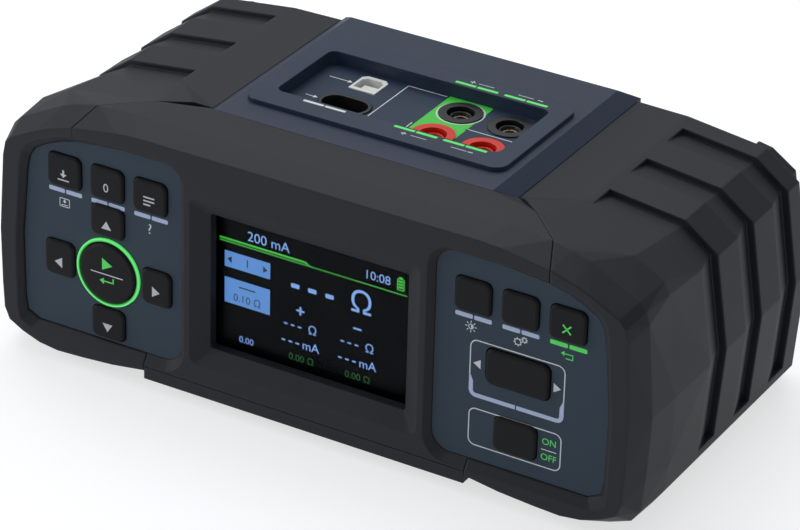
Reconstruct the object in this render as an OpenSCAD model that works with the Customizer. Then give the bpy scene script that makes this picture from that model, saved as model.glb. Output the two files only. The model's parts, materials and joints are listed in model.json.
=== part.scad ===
// Portable micro ohmmeter: a low housing between two rubber side bumpers, with keys and
// a display on the front and the test sockets in a sunk tray on top.
// X runs to the viewer's right, the front faces -Y, Z is up, the origin is under the middle.

/* [Body] */
// Width over the two bumpers
body_w = 254; // [248:1:260]
// Depth from the front face to the rear corner feet
body_d = 131; // [129:1:140]
// Height of the front frame's ridge
body_h = 99.5; // [98:0.5:102]
// Wall of the two housing shells
shell_wall = 2.5; // [2:0.1:2.8]
// Width of the roof between the bumpers
roof_w = 118.6; // [117:0.2:120]
// Rise of the raised field above the roof's edge
field_rise = 4.1; // [3.7:0.1:4.6]
// Width of the raised field's top
field_w = 106.4; // [104:0.2:108]
// Wall of the bezel's top
bezel_wall = 2.6; // [2.2:0.1:3]
// Gap along the seams between covers
seam_gap = 0.3; // [0.2:0.05:0.5]
// Thickness of the front frame
frame_t = 2.6; // [2:0.1:3.2]
// Thickness of the rear panel
rear_t = 2.5; // [2:0.1:3]

/* [Bumpers] */
// Distance between two wedge grooves
groove_pitch = 26.5; // [25:0.5:26.5]
// Depth of a groove's wall on the top
groove_top_d = 2.3; // [1.5:0.1:2.6]
// Depth of a groove's wall on the side
groove_side_d = 3.2; // [2:0.1:3.6]
// Length of a groove's ramp
groove_ramp = 12; // [8:0.5:14]
// Distance from the front face to the first groove's wall
groove_start = 60.5; // [59:0.5:61]
// Reach of the rear corner feet behind the bumper
foot_reach = 6; // [4:0.5:7]

/* [Keys] */
// Depth of the key panels behind the front face
panel_sink = 2.5; // [2.2:0.1:2.8]
// Thickness of a key panel
panel_t = 1.6; // [1.2:0.1:1.8]
// Radius of a key panel's inner corners
panel_r = 7; // [5:0.5:9]
// Width of a small key
key_w = 13.4; // [12:0.1:13.6]
// Height of a small key
key_h = 12.4; // [11:0.1:12.8]
// Distance between two keys in a row
key_pitch = 17.35; // [16.9:0.05:17.6]
// Corner radius of a key
key_r = 2.4; // [1.5:0.1:3]
// Width of the rounded edge of a key
key_edge = 0.7; // [0.3:0.1:1]
// Travel of a push key
key_travel = 1.1; // [0.8:0.05:1.2]
// Height of a resting key above its panel
key_rise = 1.3; // [1.2:0.05:1.6]
// Gap between a key and its panel
key_gap = 0.25; // [0.15:0.05:0.3]
// Distance of an arrow key from the start key's middle
arrow_reach = 19.8; // [19.7:0.05:20.2]
// Length of an arrow key across its direction
arrow_l = 13.3; // [12.5:0.1:13.5]
// Depth of an arrow key along its direction
arrow_d = 11.8; // [11:0.1:11.9]
// Radius of the round start key
start_r = 11.2; // [10.6:0.1:11.3]
// Inner radius of the light ring
ring_in_r = 11.7; // [11.6:0.05:11.9]
// Outer radius of the light ring
ring_out_r = 12.8; // [12.4:0.05:12.9]
// Width of the rocker key
rocker_w = 23.3; // [22:0.1:24]
// Height of the rocker key
rocker_h = 12.9; // [12.4:0.1:13.2]
// Diameter of the rocker's pivot pins
rocker_pin_d = 2.4; // [2:0.1:2.6]
// Width of the power key
power_w = 15.9; // [14:0.1:17]
// Height of the power key
power_h = 12.8; // [12:0.1:13.4]

/* [Display] */
// Width of the display opening
screen_w = 76.6; // [75:0.2:77]
// Height of the display opening
screen_h = 51.5; // [50:0.1:52]
// Width of the sloped surround of the display
surround_w = 6.2; // [5:0.1:6.4]
// Depth of the sloped surround
surround_d = 3.6; // [2.8:0.1:4.4]
// Depth of the window behind the front face
window_sink = 7.8; // [7.5:0.1:8]
// Thickness of the window
window_t = 1.5; // [1:0.1:1.6]

/* [Connections] */
// Width of the raised connection plate
plate_w = 100.4; // [98:0.2:102]
// Depth of the raised connection plate from front to back
plate_d = 54.2; // [52:0.2:55]
// Thickness of the raised connection plate
plate_t = 1.6; // [1.2:0.1:2]
// Corner radius of the connection plate
plate_r = 5; // [3:0.5:7]
// Distance from the front face to the plate's middle
plate_back = 68.9; // [67.5:0.1:70]
// Width of the sunk tray
tray_w = 86.6; // [86:0.2:88]
// Depth of the tray from front to back
tray_d = 37.2; // [36.6:0.2:38]
// Depth of the tray's floor below the plate's top
tray_sink = 5.1; // [4.6:0.1:5.4]
// Distance between two test sockets
socket_pitch = 19.05; // [18.8:0.05:19.3]
// Distance of the sockets' middle from the object's middle
socket_x = 23.3; // [22.8:0.1:23.8]
// Outer diameter of a test socket's head
socket_d = 15.4; // [14.8:0.1:15.8]
// Diameter of a test socket's mouth
socket_mouth_d = 9.6; // [9:0.1:10]
// Bore of a test socket's contact sleeve
sleeve_bore_d = 4; // [3.9:0.05:4.1]
// Length of a test socket's contact sleeve
sleeve_l = 24; // [20:0.5:25]
// Width of the USB socket's mouth
usb_w = 8.45; // [8.3:0.05:8.6]
// Depth of the USB socket's mouth from front to back
usb_d = 7.78; // [7.6:0.02:7.9]
// Width of the mains inlet's mouth
inlet_w = 17; // [16:0.1:17.2]
// Depth of the mains inlet's mouth from front to back
inlet_d = 9.8; // [9.2:0.1:10]
// Distance between the inlet's two pins
inlet_pitch = 8.6; // [8:0.1:9]

/* [Inside] */
// Thickness of the circuit boards
board_t = 1.6; // [1.2:0.1:1.8]
// Height of the main board above the rest face
main_board_z = 31; // [30:0.5:33]
// Width of the main board
main_board_w = 196; // [190:1:200]
// Depth of the main board from front to back
main_board_d = 88; // [84:1:89]
// Diameter of a battery cell
cell_d = 18.2; // [17.6:0.1:18.4]
// Length of a battery cell
cell_l = 65; // [62:0.5:66]
// Number of battery cells
cell_count = 5; // [3:1:5]
// Width of the transformer
transformer_w = 46; // [40:1:48]
// Height of the transformer
transformer_h = 26; // [22:1:28]
// Number of the heat sink's fins
fin_count = 7; // [5:1:9]
// Diameter of the housing screws
screw_d = 3; // [2.6:0.1:3.2]

/* [Hidden] */

half_w = body_w / 2;
front_y = -body_d / 2;
slice_t = 0.05;
overrun = 1;
face_gap = 0.1;
round_gap = 0.3;

// Outlines of the right half in front view, as shares of the half width and the height
ridge_shares = [[0.44, 0.965], [0.512, 0.965], [0.575, 0.960], [0.63, 0.949], [0.694, 0.940],
    [0.722, 0.932], [0.790, 0.907], [0.833, 0.885], [0.862, 0.863], [0.897, 0.844],
    [0.920, 0.828], [0.938, 0.801], [0.946, 0.750], [0.960, 0.46], [0.957, 0.25],
    [0.953, 0.15], [0.938, 0.105], [0.895, 0.075], [0.84, 0.05], [0.78, 0.04],
    [0.70, 0.045], [0.60, 0.055], [0.44, 0.085]];
rim_shares = [[0.44, 1], [0.567, 0.998], [0.686, 0.989], [0.743, 0.974], [0.792, 0.953],
    [0.821, 0.932], [0.936, 0.859], [0.957, 0.831], [0.968, 0.788], [0.992, 0.452],
    [0.984, 0.216], [0.974, 0.09], [0.950, 0.045], [0.89, 0.015], [0.803, 0], [0.756, 0],
    [0.44, 0.035]];
crease_shares = [[0.44, 0.984], [0.575, 0.982], [0.858, 0.930], [0.945, 0.868],
    [0.963, 0.826], [1, 0.462], [0.992, 0.2], [0.98, 0.09], [0.953, 0.04], [0.89, 0.012],
    [0.803, 0], [0.756, 0], [0.44, 0.035]];
main_shares = [[0.44, 0.935], [0.62, 0.931], [0.857, 0.894], [0.957, 0.80], [1, 0.462],
    [0.98, 0.09], [0.953, 0.04], [0.89, 0.012], [0.803, 0], [0.756, 0], [0.44, 0.035]];
tail_shares = [[0.44, 0.905], [0.62, 0.902], [0.845, 0.867], [0.938, 0.785], [0.98, 0.462],
    [0.962, 0.11], [0.93, 0.055], [0.89, 0.03], [0.80, 0.02], [0.756, 0.02], [0.44, 0.05]];
foot_shares = [[0.80, 0.862], [0.842, 0.852], [0.914, 0.790], [0.935, 0.63], [0.85, 0.63],
    [0.79, 0.70]];
low_foot_shares = [[0.79, 0.22], [0.85, 0.28], [0.935, 0.28], [0.945, 0.13], [0.915, 0.06],
    [0.80, 0.04]];
// A key panel as it shows, the space behind the front rims, and the housing's side
panel_shares = [[0.30, 0.888], [0.567, 0.888], [0.63, 0.880], [0.716, 0.869], [0.766, 0.852],
    [0.811, 0.829], [0.85, 0.799], [0.868, 0.764], [0.876, 0.714], [0.894, 0.46],
    [0.892, 0.21], [0.885, 0.156], [0.778, 0.090], [0.497, 0.130], [0.30, 0.137]];
cavity_shares = [[0.40, 0.930], [0.70, 0.912], [0.82, 0.866], [0.892, 0.806], [0.920, 0.745],
    [0.928, 0.46], [0.920, 0.17], [0.885, 0.10], [0.775, 0.066], [0.40, 0.075]];
side_shares = [[0.610, 0.882], [0.838, 0.846], [0.920, 0.770], [0.955, 0.462],
    [0.940, 0.115], [0.905, 0.075], [0.803, 0.045], [0.52, 0.055]];
side_mid_shares = [0.7, 0.46];

// Depths of the front frame's edges behind the front face
rim_back = 9.3;
crease_back = 24;
field_back = 30.3;
corner_back = 37.8;
taper_back = 49;
housing_back = 12;
rim_y = front_y + rim_back;
crease_y = front_y + crease_back;
field_y = front_y + field_back;
corner_y = front_y + corner_back;
taper_y = front_y + taper_back;
housing_y = front_y + housing_back;
tail_y = -front_y - foot_reach;
tail_l = 3;
main_end_y = tail_y - tail_l;
housing_end_y = tail_y - seam_gap;

// Seams seen from above, and the heights of the roof
seam_top_share = 0.719;
seam_rim_share = 0.686;
seam_crease_share = 0.575;
seam_floor_share = 0.497;
seam_top_x = half_w * seam_top_share;
seam_rim_x = half_w * seam_rim_share;
seam_crease_x = half_w * seam_crease_share;
seam_floor_x = half_w * seam_floor_share;
roof_x = roof_w / 2;
field_x = field_w / 2;
roof_z_share = 0.935;
roof_z = body_h * roof_z_share;
field_z = roof_z + field_rise;
field_end = 6.5;
split_z_share = 0.462;
split_z = body_h * split_z_share;
seal_t = 0.8;
floor_z_share = 0.043;
floor_z = body_h * floor_z_share;
floor_top_z = floor_z + shell_wall;
strip_top_share = 0.090;
strip_z = body_h * strip_top_share;
side_top_z = body_h * side_shares[0][1];
side_low_z = body_h * side_shares[7][1];
lip_t = 2.4;
lip_in = 2.2;
lip_side_z_share = 0.90;
lip_low_share = 0.865;

// Layers of the key fields, from the front to the back
panel_y = front_y + panel_sink;
panel_back_y = panel_y + panel_t;
panel_lap = 1.5;
panel_in_share = 0.387;
panel_low_share = 0.133;
panel_high_share = 0.888;
panel_in_x = half_w * panel_in_share;
panel_low_z = body_h * panel_low_share;
panel_high_z = body_h * panel_high_share;
panel_mid_shares = [0.65, 0.46];
rim_bevel = 2.3;
low_bevel_share = 1.6;
key_y = panel_y - key_rise;
flange_t = 0.8;
flange_reach = 1.2;
flange_y = panel_back_y + face_gap;
flange_end_y = flange_y + flange_t;
mat_gap = 0.25;
mat_y = flange_end_y + key_travel + mat_gap;
mat_t = 1.2;
board_y = mat_y + mat_t;
frame_y = board_y + board_t;
frame_end_y = frame_y + frame_t;
ring_flange_t = 0.5;
ring_flange_reach = 0.7;
start_flange_t = 0.45;
panel_post_r = 1.5;
mat_in = 1.6;
key_field_in_x = surround_w + screen_w / 2 + panel_lap;
board_out_share = 0.835;
board_low_share = 0.145;
board_high_share = 0.84;
board_cut = 8;

// Places of the keys
key_row_share = 0.744;
left_x_share = 0.62;
right_x_share = 0.633;
start_z_share = 0.401;
rocker_z_share = 0.5055;
power_z_share = 0.2635;
key_row_z = body_h * key_row_share;
left_x = -half_w * left_x_share;
right_x = half_w * right_x_share;
start_z = body_h * start_z_share;
rocker_z = body_h * rocker_z_share;
power_z = body_h * power_z_share;
post_in_x_share = 0.415;
post_out_x_share = 0.815;
post_high_z_share = 0.603;
post_low_z_share = 0.205;

// Rocker and its clip
rocker_gap = 0.5;
rocker_pin_back = 1.6;
rocker_y = panel_back_y + rocker_pin_back;
rocker_pin_gap = 0.05;
rocker_neck = 0.5;
rocker_neck_in = 1.2;
ear_t = 1.1;
ear_gap = 0.25;
ear_w = 3.8;
ear_front = 1.7;
clip_t = 0.5;
clip_w = 7;
clip_gap = 0.4;

// Display
screen_z_share = 0.484;
screen_z = body_h * screen_z_share;
screen_r = 1;
surround_r = 3;
gasket_t = 0.6;
window_y = front_y + window_sink;
window_end_y = window_y + window_t;
collar_end_y = window_y - gasket_t;
window_lap = 2.2;
module_y = window_end_y + face_gap;
module_lap = 3.6;
module_gap = 0.4;
module_board_lap = 8.7;
module_board_h_lap = 7;
module_screw_lap = 6.4;
module_screw_share = 0.8;
connector_w = 30;
connector_h = 5;
connector_t = 4;

// Connection plate and tray
plate_y = front_y + plate_back;
plate_z = field_z + plate_t;
tray_shift = 1.5;
tray_y = plate_y + tray_shift;
tray_r = 3;
tray_z = plate_z - tray_sink;
tray_floor_t = 2.5;
tray_low_z = tray_z - tray_floor_t;
tray_wall = 1.2;
tray_lip = 2.6;
tray_lip_t = 1.6;
pocket_gap = 2;
pocket_top_z = field_z - shell_wall;
socket_shift = 0.65;
socket_y = tray_y - socket_shift;
socket_rise = 0.5;
socket_body_d = 12.2;
socket_wall_z = 2;
sleeve_sink = 2.5;
sleeve_wall = 0.9;
sleeve_tail_d = 2;
sleeve_tail_l = 6;
sleeve_collar_t = 1;
sleeve_collar_r = 4.4;
nut_flats = 16;
nut_t = 3;
socket_z = tray_z + socket_rise;
sleeve_top_z = socket_z - sleeve_sink;
sleeve_low_z = sleeve_top_z - sleeve_l;
socket_low_z = sleeve_low_z + sleeve_collar_t;
usb_x = -23.2;
usb_shift = 10.35;
usb_y = tray_y + usb_shift;
usb_wall_x = 0.95;
usb_wall_y = 1.65;
usb_bevel = 1.6;
usb_floor_t = 2;
tongue_w = 5.6;
tongue_d = 3.2;
tongue_sink = 1.6;
inlet_x = -22.7;
inlet_shift = 6.95;
inlet_y = tray_y - inlet_shift;
inlet_wall = 1.2;
inlet_floor_t = 2;
pin_d = 2.36;
pin_sink = 3;
pin_tail = 3;
port_rise = 0.4;
port_l = 16;
port_z = tray_z + port_rise;
port_low_z = port_z - port_l;

// Boards and what they carry
supply_x = -24;
supply_w = 46;
supply_d = 42;
supply_post_r = 3;
supply_in = 3.4;
supply_z = port_low_z - board_t;
board_back_shift = 64;
main_board_y = front_y + board_back_shift;
main_post_r = 3.2;
main_post_in = 6;
main_top_z = main_board_z + board_t;
chip_w = 14;
chip_t = 2;
cap_r = 5;
cap_h = 12;
transformer_x = -66;
transformer_d = 38;
winding_in = 5;
winding_out = 3;
sink_x = 68;
sink_w = 40;
sink_d = 52;
sink_base_t = 4;
fin_h = 18;
fin_t = 1.6;
shunt_x = 24;
shunt_w = 8;
shunt_d = 36;
shunt_h = 6;
shunt_end = 7;
shunt_step = 2.4;

// Battery bay
bay_back = 62;
bay_y = front_y + bay_back;
bay_gap = 0.3;
bay_wall = 1.4;
bay_r = 4;
cell_gap = 0.15;
cell_cap_r = 3;
cell_cap_h = 1;
bay_in_w = cell_count * (cell_d + cell_gap) + cell_gap + 2 * bay_gap;
bay_in_d = cell_l + cell_cap_h + 3 * bay_gap;
bay_in_h = cell_d + 2 * bay_gap;
door_t = 1.6;
door_lap = 6;
door_gap = 0.2;
door_screw_in = 3;
door_screw_d = 2.2;
door_boss_r = 3;
door_boss_h = 6;
door_r = 3;

// Screws and their bosses
boss_r = 3.8;
boss_x = 55.5;
boss_front = 16;
boss_rear = 4.7;
boss_front_y = front_y + boss_front;
boss_rear_y = housing_end_y - rear_t - boss_rear - rim_bevel;
screw_head_d = 5.6;
screw_head_t = 2;
screw_seat = 2.3;
housing_screw_l = 58;
small_screw_d = 2.4;
small_head_d = 4.8;
small_head_t = 1.5;
small_screw_l = 6;
frame_boss_r = 5.5;
frame_boss_l = 10;
frame_screw_l = 9;
frame_high_shares = [0.874, 0.66];
frame_low_shares = [0.870, 0.146];
rear_in = 1.2;
vent_w = 2.4;
vent_h = 22;
vent_pitch = 6;
vent_count = 7;
vent_x_share = 0.5;

charcoal = [0.13, 0.13, 0.14];
graphite = [0.17, 0.18, 0.20];
slate = [0.20, 0.26, 0.32];
key_black = [0.10, 0.10, 0.11];
board_green = [0.10, 0.35, 0.18];
plated = [0.75, 0.75, 0.72];
light_green = [0.25, 0.85, 0.30];
socket_red = [0.85, 0.20, 0.12];
seal_black = [0.05, 0.05, 0.05];
steel = [0.62, 0.63, 0.65];

// Outlines lie in X and Z and are thickened along Y
function sized(shares) = [for (p = shares) [p[0] * half_w, p[1] * body_h]];
function grown(points, mid, dx, dz) = [for (p = points)
    [p[0] + (p[0] > mid[0] ? dx : -dx), p[1] + (p[1] > mid[1] ? dz : -dz)]];
// Grown like the rest, but by more along the lower edge
function sloped(points, mid, d) = [for (p = points)
    [p[0] + (p[0] > mid[0] ? d : -d), p[1] + (p[1] > mid[1] ? d : -d * low_bevel_share)]];
panel_mid = sized([panel_mid_shares])[0];
side_mid = sized([side_mid_shares])[0];

// Corners of a slab on the other side
function mirrored(points) = [for (p = points) [-p[0] - slice_t, p[1], p[2]]];

module along_y(y0, y1) {
    translate([0, y1, 0]) rotate([90, 0, 0]) linear_extrude(height = y1 - y0) children();
}

module round_rect(w, h, r) {
    square([w - 2 * r, h], center = true);
    square([w, h - 2 * r], center = true);
    for (sx = [-1, 1], sz = [-1, 1])
        translate([sx * (w / 2 - r), sz * (h / 2 - r)]) circle(r, $fn = 32);
}

module both_sides() {
    children();
    mirror([1, 0, 0]) children();
}

module slice(shares, y) {
    along_y(y, y + slice_t) polygon(sized(shares));
}

// Inward normal of an outline's side, and the corner where two sides meet once each is moved in
function inward(a, b) = [b[1] - a[1], a[0] - b[0]] / norm(b - a);
function inner_corner(a, b, c, da, db) = let (n = inward(a, b), m = inward(b, c),
    det = n[0] * m[1] - n[1] * m[0])
    b + [(da * m[1] - db * n[1]) / det, (n[0] * db - m[0] * da) / det];

// Line of a wedge groove's floor round the side, at a share of the groove's full depth
function groove_line(share) = let (p = sized(main_shares), t = groove_top_d * share,
    d = groove_side_d * share)
    [p[1] + inward(p[1], p[2]) * t + (p[2] - p[1]) / norm(p[2] - p[1]) * groove_top_d,
        inner_corner(p[1], p[2], p[3], t, t), inner_corner(p[2], p[3], p[4], t, d),
        inner_corner(p[3], p[4], p[5], d, d),
        p[5] + inward(p[4], p[5]) * d + (p[4] - p[5]) / norm(p[4] - p[5]) * groove_side_d];
function at_y(points, y) = [for (p = points) [p[0], y, p[1]]];

// Wedge groove with its steep wall at wall_y and its ramp in front of it
module groove(wall_y) {
    over_share = 0.1;
    front = wall_y - groove_ramp * (1 + over_share);
    n = len(groove_line(1));
    polyhedron(
        points = concat(at_y(groove_line(-over_share), front), at_y(groove_line(1), wall_y),
            at_y(groove_line(-1), front), at_y(groove_line(-1), wall_y)),
        faces = concat(
            [for (i = [0 : n - 2]) [i, i + 1, n + i + 1, n + i]],
            [for (i = [0 : n - 2]) [2 * n + i, 3 * n + i, 3 * n + i + 1, 2 * n + i + 1]],
            [for (i = [0 : n - 2]) [2 * n + i, 2 * n + i + 1, i + 1, i]],
            [for (i = [0 : n - 2]) [n + i, n + i + 1, 3 * n + i + 1, 3 * n + i]],
            [[0, n, 3 * n, 2 * n], [n - 1, 3 * n - 1, 4 * n - 1, 2 * n - 1]]));
}

// The right key panel as it shows, with its two round inner corners
module panel_outline(points, d, low_d) {
    w = half_w - panel_in_x + d;
    h = panel_high_z - panel_low_z + d + low_d;
    intersection() {
        polygon(points);
        translate([half_w - w / 2, panel_low_z - low_d + h / 2])
            round_rect(w, h, panel_r + d);
    }
}

module panel_face() {
    panel_outline(sized(panel_shares), 0, 0);
}

module panel_recess() {
    along_y(front_y - overrun, housing_y) panel_face();
    hull() {
        along_y(front_y - slice_t, front_y)
            panel_outline(sloped(sized(panel_shares), panel_mid, rim_bevel), rim_bevel,
                rim_bevel * low_bevel_share);
        along_y(panel_y - slice_t, panel_y) panel_face();
    }
}

module bumper_form() {
    main = sized(main_shares);
    hull() {
        slice(ridge_shares, front_y);
        slice(rim_shares, rim_y);
    }
    hull() {
        slice(rim_shares, rim_y);
        slice(crease_shares, crease_y);
    }
    hull() {
        slice(crease_shares, crease_y);
        along_y(taper_y, taper_y + slice_t)
            polygon([for (i = [1 : len(main) - 1]) main[i]]);
        translate([roof_x - slice_t, corner_y, main[10][1]])
            cube([slice_t, slice_t, roof_z - main[10][1]]);
    }
    along_y(corner_y, main_end_y) polygon(main);
    hull() {
        slice(main_shares, main_end_y - slice_t);
        slice(tail_shares, tail_y - slice_t);
    }
    along_y(main_end_y, tail_y + foot_reach) polygon(sized(foot_shares));
    along_y(main_end_y, tail_y + foot_reach) polygon(sized(low_foot_shares));
}

// Side of the housing under the right bumper, grown by d
module side_outline(d) {
    polygon(concat([[field_x, side_top_z + d]], grown(sized(side_shares), side_mid, d, d),
        [[field_x, side_low_z - d]]));
}

module bumper() {
    gap = seam_gap / 2;
    difference() {
        bumper_form();
        for (i = [0 : 2]) groove(front_y + groove_start + i * groove_pitch);
        panel_recess();
        along_y(panel_y, housing_y + overrun) polygon(sized(cavity_shares));
        along_y(housing_y, housing_end_y + face_gap) side_outline(face_gap);
        // Seam towards the bezel and the roof
        translate([0, 0, split_z]) linear_extrude(height = body_h)
            polygon([[0, front_y - overrun], [seam_top_x + gap, front_y - overrun],
                [seam_top_x + gap, front_y], [seam_rim_x + gap, rim_y],
                [seam_crease_x + gap, crease_y], [roof_x + gap, corner_y],
                [roof_x + gap, -front_y], [0, -front_y]]);
        // Seam towards the floor
        translate([0, front_y - overrun, -overrun])
            cube([seam_floor_x + gap, body_d + 2 * overrun, split_z + 2 * overrun]);
    }
}

module right_bumper() {
    color(charcoal) bumper();
}

module left_bumper() {
    color(charcoal) mirror([1, 0, 0]) bumper();
}

// Corners of a part of the bezel's top and the same corners under its wall
module bezel_slab(corners) {
    hull() for (p = corners, drop = [slice_t, bezel_wall])
        translate([p[0], p[1], p[2] - drop]) cube([slice_t, slice_t, slice_t]);
}

// Middle and brow of the bezel's top, over its whole width
module bezel_top() {
    ridge = sized(ridge_shares);
    rim = sized(rim_shares);
    side = slice_t + seam_gap / 2;
    middle = [[field_x - slice_t, field_y, field_z], [rim[1][0], rim_y, rim[1][1]],
        [0, rim_y, rim[0][1]]];
    brow = [[0, rim_y, rim[0][1]], [rim[1][0], rim_y, rim[1][1]],
        [seam_rim_x - side, rim_y, rim[2][1]], [ridge[1][0], front_y, ridge[1][1]],
        [ridge[2][0], front_y, ridge[2][1]], [ridge[3][0], front_y, ridge[3][1]],
        [seam_top_x - side, front_y, ridge[5][1]]];
    bezel_slab(concat(middle, mirrored(middle)));
    bezel_slab(concat(brow, mirrored(brow)));
}

// Wing of the bezel's top beside the raised field
module bezel_wing() {
    rim = sized(rim_shares);
    crease = sized(crease_shares);
    side = slice_t + seam_gap / 2;
    bezel_slab([[field_x - slice_t, field_y, field_z],
        [roof_x - side, corner_y - seam_gap / 2, roof_z],
        [seam_crease_x - side, crease_y, crease[1][1]],
        [seam_rim_x - side, rim_y, rim[2][1]], [rim[1][0], rim_y, rim[1][1]]]);
}

module surround_face(y, w, h, r) {
    along_y(y, y + slice_t) translate([0, screen_z]) round_rect(w, h, r);
}

module front_bezel() {
    gap = seam_gap / 2;
    ridge = sized(ridge_shares);
    side = slice_t + gap;
    color(graphite) {
        bezel_top();
        both_sides() bezel_wing();
        difference() {
            union() {
                // Front wall
                both_sides() along_y(front_y, panel_y) polygon([[0, ridge[0][1] - slice_t],
                    [ridge[1][0], ridge[1][1] - slice_t], [ridge[2][0], ridge[2][1] - slice_t],
                    [ridge[3][0], ridge[3][1] - slice_t],
                    [seam_top_x - side, ridge[5][1] - slice_t],
                    [seam_top_x - side, panel_high_z - panel_r],
                    [seam_floor_x - gap, panel_high_z - panel_r],
                    [seam_floor_x - gap, strip_z + gap], [0, strip_z + gap]]);
                // Collar behind the surround
                along_y(front_y, collar_end_y) translate([0, screen_z])
                    round_rect(screen_w + 2 * surround_w, screen_h + 2 * surround_w,
                        surround_r);
            }
            both_sides() panel_recess();
            // Seams towards the bumpers
            both_sides() translate([0, 0, split_z]) linear_extrude(height = body_h)
                polygon([[seam_top_x - gap, front_y - overrun], [seam_top_x - gap, front_y],
                    [seam_rim_x - gap, rim_y], [half_w, rim_y], [half_w, front_y - overrun]]);
            hull() {
                surround_face(front_y - slice_t, screen_w + 2 * surround_w,
                    screen_h + 2 * surround_w, surround_r);
                surround_face(front_y + surround_d, screen_w, screen_h, screen_r);
            }
            along_y(front_y, collar_end_y + overrun) translate([0, screen_z])
                round_rect(screen_w, screen_h, screen_r);
        }
    }
}

// Front view of one half of the housing, shrunk by d
module housing_section(d) {
    gap = seam_gap / 2;
    side_outline(-d);
    translate([0, floor_z + d]) square([seam_floor_x - gap - d, split_z]);
    translate([0, split_z]) square([roof_x - gap - d, roof_z - d - split_z]);
}

module housing_walls() {
    both_sides() difference() {
        along_y(housing_y, housing_end_y) housing_section(0);
        along_y(housing_y - overrun, housing_end_y + overrun) housing_section(shell_wall);
    }
}

module below_split(z0, z1) {
    translate([-half_w, front_y - overrun, z0])
        cube([body_w, body_d + 2 * overrun, z1 - z0]);
}

module at_bosses() {
    for (sx = [-1, 1], y = [boss_front_y, boss_rear_y]) translate([sx * boss_x, y, 0]) children();
}

// Screw hole places on the front frame, as points in X and Z
module at_frame_screws(shares) {
    p = sized([shares])[0];
    for (sx = [-1, 1]) translate([sx * p[0], 0, p[1]]) children();
}

module frame_boss(shares) {
    at_frame_screws(shares) difference() {
        translate([0, frame_end_y + frame_boss_l, 0]) rotate([90, 0, 0])
            cylinder(h = frame_boss_l, r = frame_boss_r, $fn = 48);
        translate([0, frame_end_y + frame_boss_l + overrun, 0]) rotate([90, 0, 0])
            cylinder(h = frame_boss_l + 2 * overrun, r = screw_d / 2 + round_gap, $fn = 32);
    }
}

module tray_hole(grow, z0, z1) {
    translate([0, tray_y, z0]) linear_extrude(height = z1 - z0)
        round_rect(tray_w + 2 * (tray_wall + grow), tray_d + 2 * (tray_wall + grow),
            tray_r + tray_wall + grow);
}

module top_cover() {
    gap = seam_gap / 2;
    cut_z = side_top_z + face_gap;
    lip_z = field_z - bezel_wall - seam_gap;
    field_front_y = field_y + seam_gap;
    color(graphite) difference() {
        union() {
            difference() {
                union() {
                    housing_walls();
                    hull() {
                        translate([-roof_x + gap, field_front_y, roof_z - shell_wall])
                            cube([roof_w - seam_gap, housing_end_y - field_front_y, shell_wall]);
                        translate([-field_x, field_front_y, roof_z])
                            cube([field_w, housing_end_y - field_end - field_front_y,
                                field_rise]);
                    }
                }
                // Room for the bezel
                translate([0, 0, cut_z]) linear_extrude(height = body_h)
                    polygon([[-half_w, front_y], [half_w, front_y], [half_w, corner_y + gap],
                        [roof_x, corner_y + gap], [field_x, field_front_y],
                        [-field_x, field_front_y], [-roof_x, corner_y + gap],
                        [-half_w, corner_y + gap]]);
                // Hollow under the raised field
                tray_hole(tray_lip + pocket_gap, roof_z - shell_wall - overrun, pocket_top_z);
            }
            // Lip under the bezel
            both_sides() along_y(housing_y, field_front_y + pocket_gap)
                polygon([[0, lip_z], [field_x - lip_in, lip_z],
                    [roof_x - lip_in, body_h * lip_side_z_share],
                    [roof_x - lip_in, body_h * lip_low_share],
                    [roof_x - lip_in - lip_t, body_h * lip_low_share],
                    [roof_x - lip_in - lip_t, body_h * lip_side_z_share - lip_t],
                    [field_x - lip_in - lip_t, lip_z - lip_t], [0, lip_z - lip_t]]);
            at_bosses() translate([0, 0, split_z])
                cylinder(h = side_top_z - split_z, r = boss_r, $fn = 48);
            frame_boss(frame_high_shares);
        }
        below_split(-overrun, split_z + seal_t / 2);
        tray_hole(seam_gap, roof_z - shell_wall - overrun, field_z + overrun);
        at_bosses() translate([0, 0, split_z - overrun])
            cylinder(h = housing_screw_l - split_z + floor_z + screw_seat + 2 * overrun,
                r = screw_d / 2 + round_gap, $fn = 32);
    }
}

module door_plate(w, d, r) {
    translate([0, bay_y]) round_rect(w, d, r);
}

module at_door_screws() {
    x = bay_in_w / 2 + door_lap - door_screw_in;
    y = bay_in_d / 2 + door_lap - door_screw_in;
    for (sx = [-1, 1], sy = [-1, 1]) translate([sx * x, bay_y + sy * y, 0]) children();
}

module at_main_posts() {
    for (sx = [-1, 1], sy = [-1, 1])
        translate([sx * (main_board_w / 2 - main_post_in),
            main_board_y + sy * (main_board_d / 2 - main_post_in), 0]) children();
}

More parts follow.
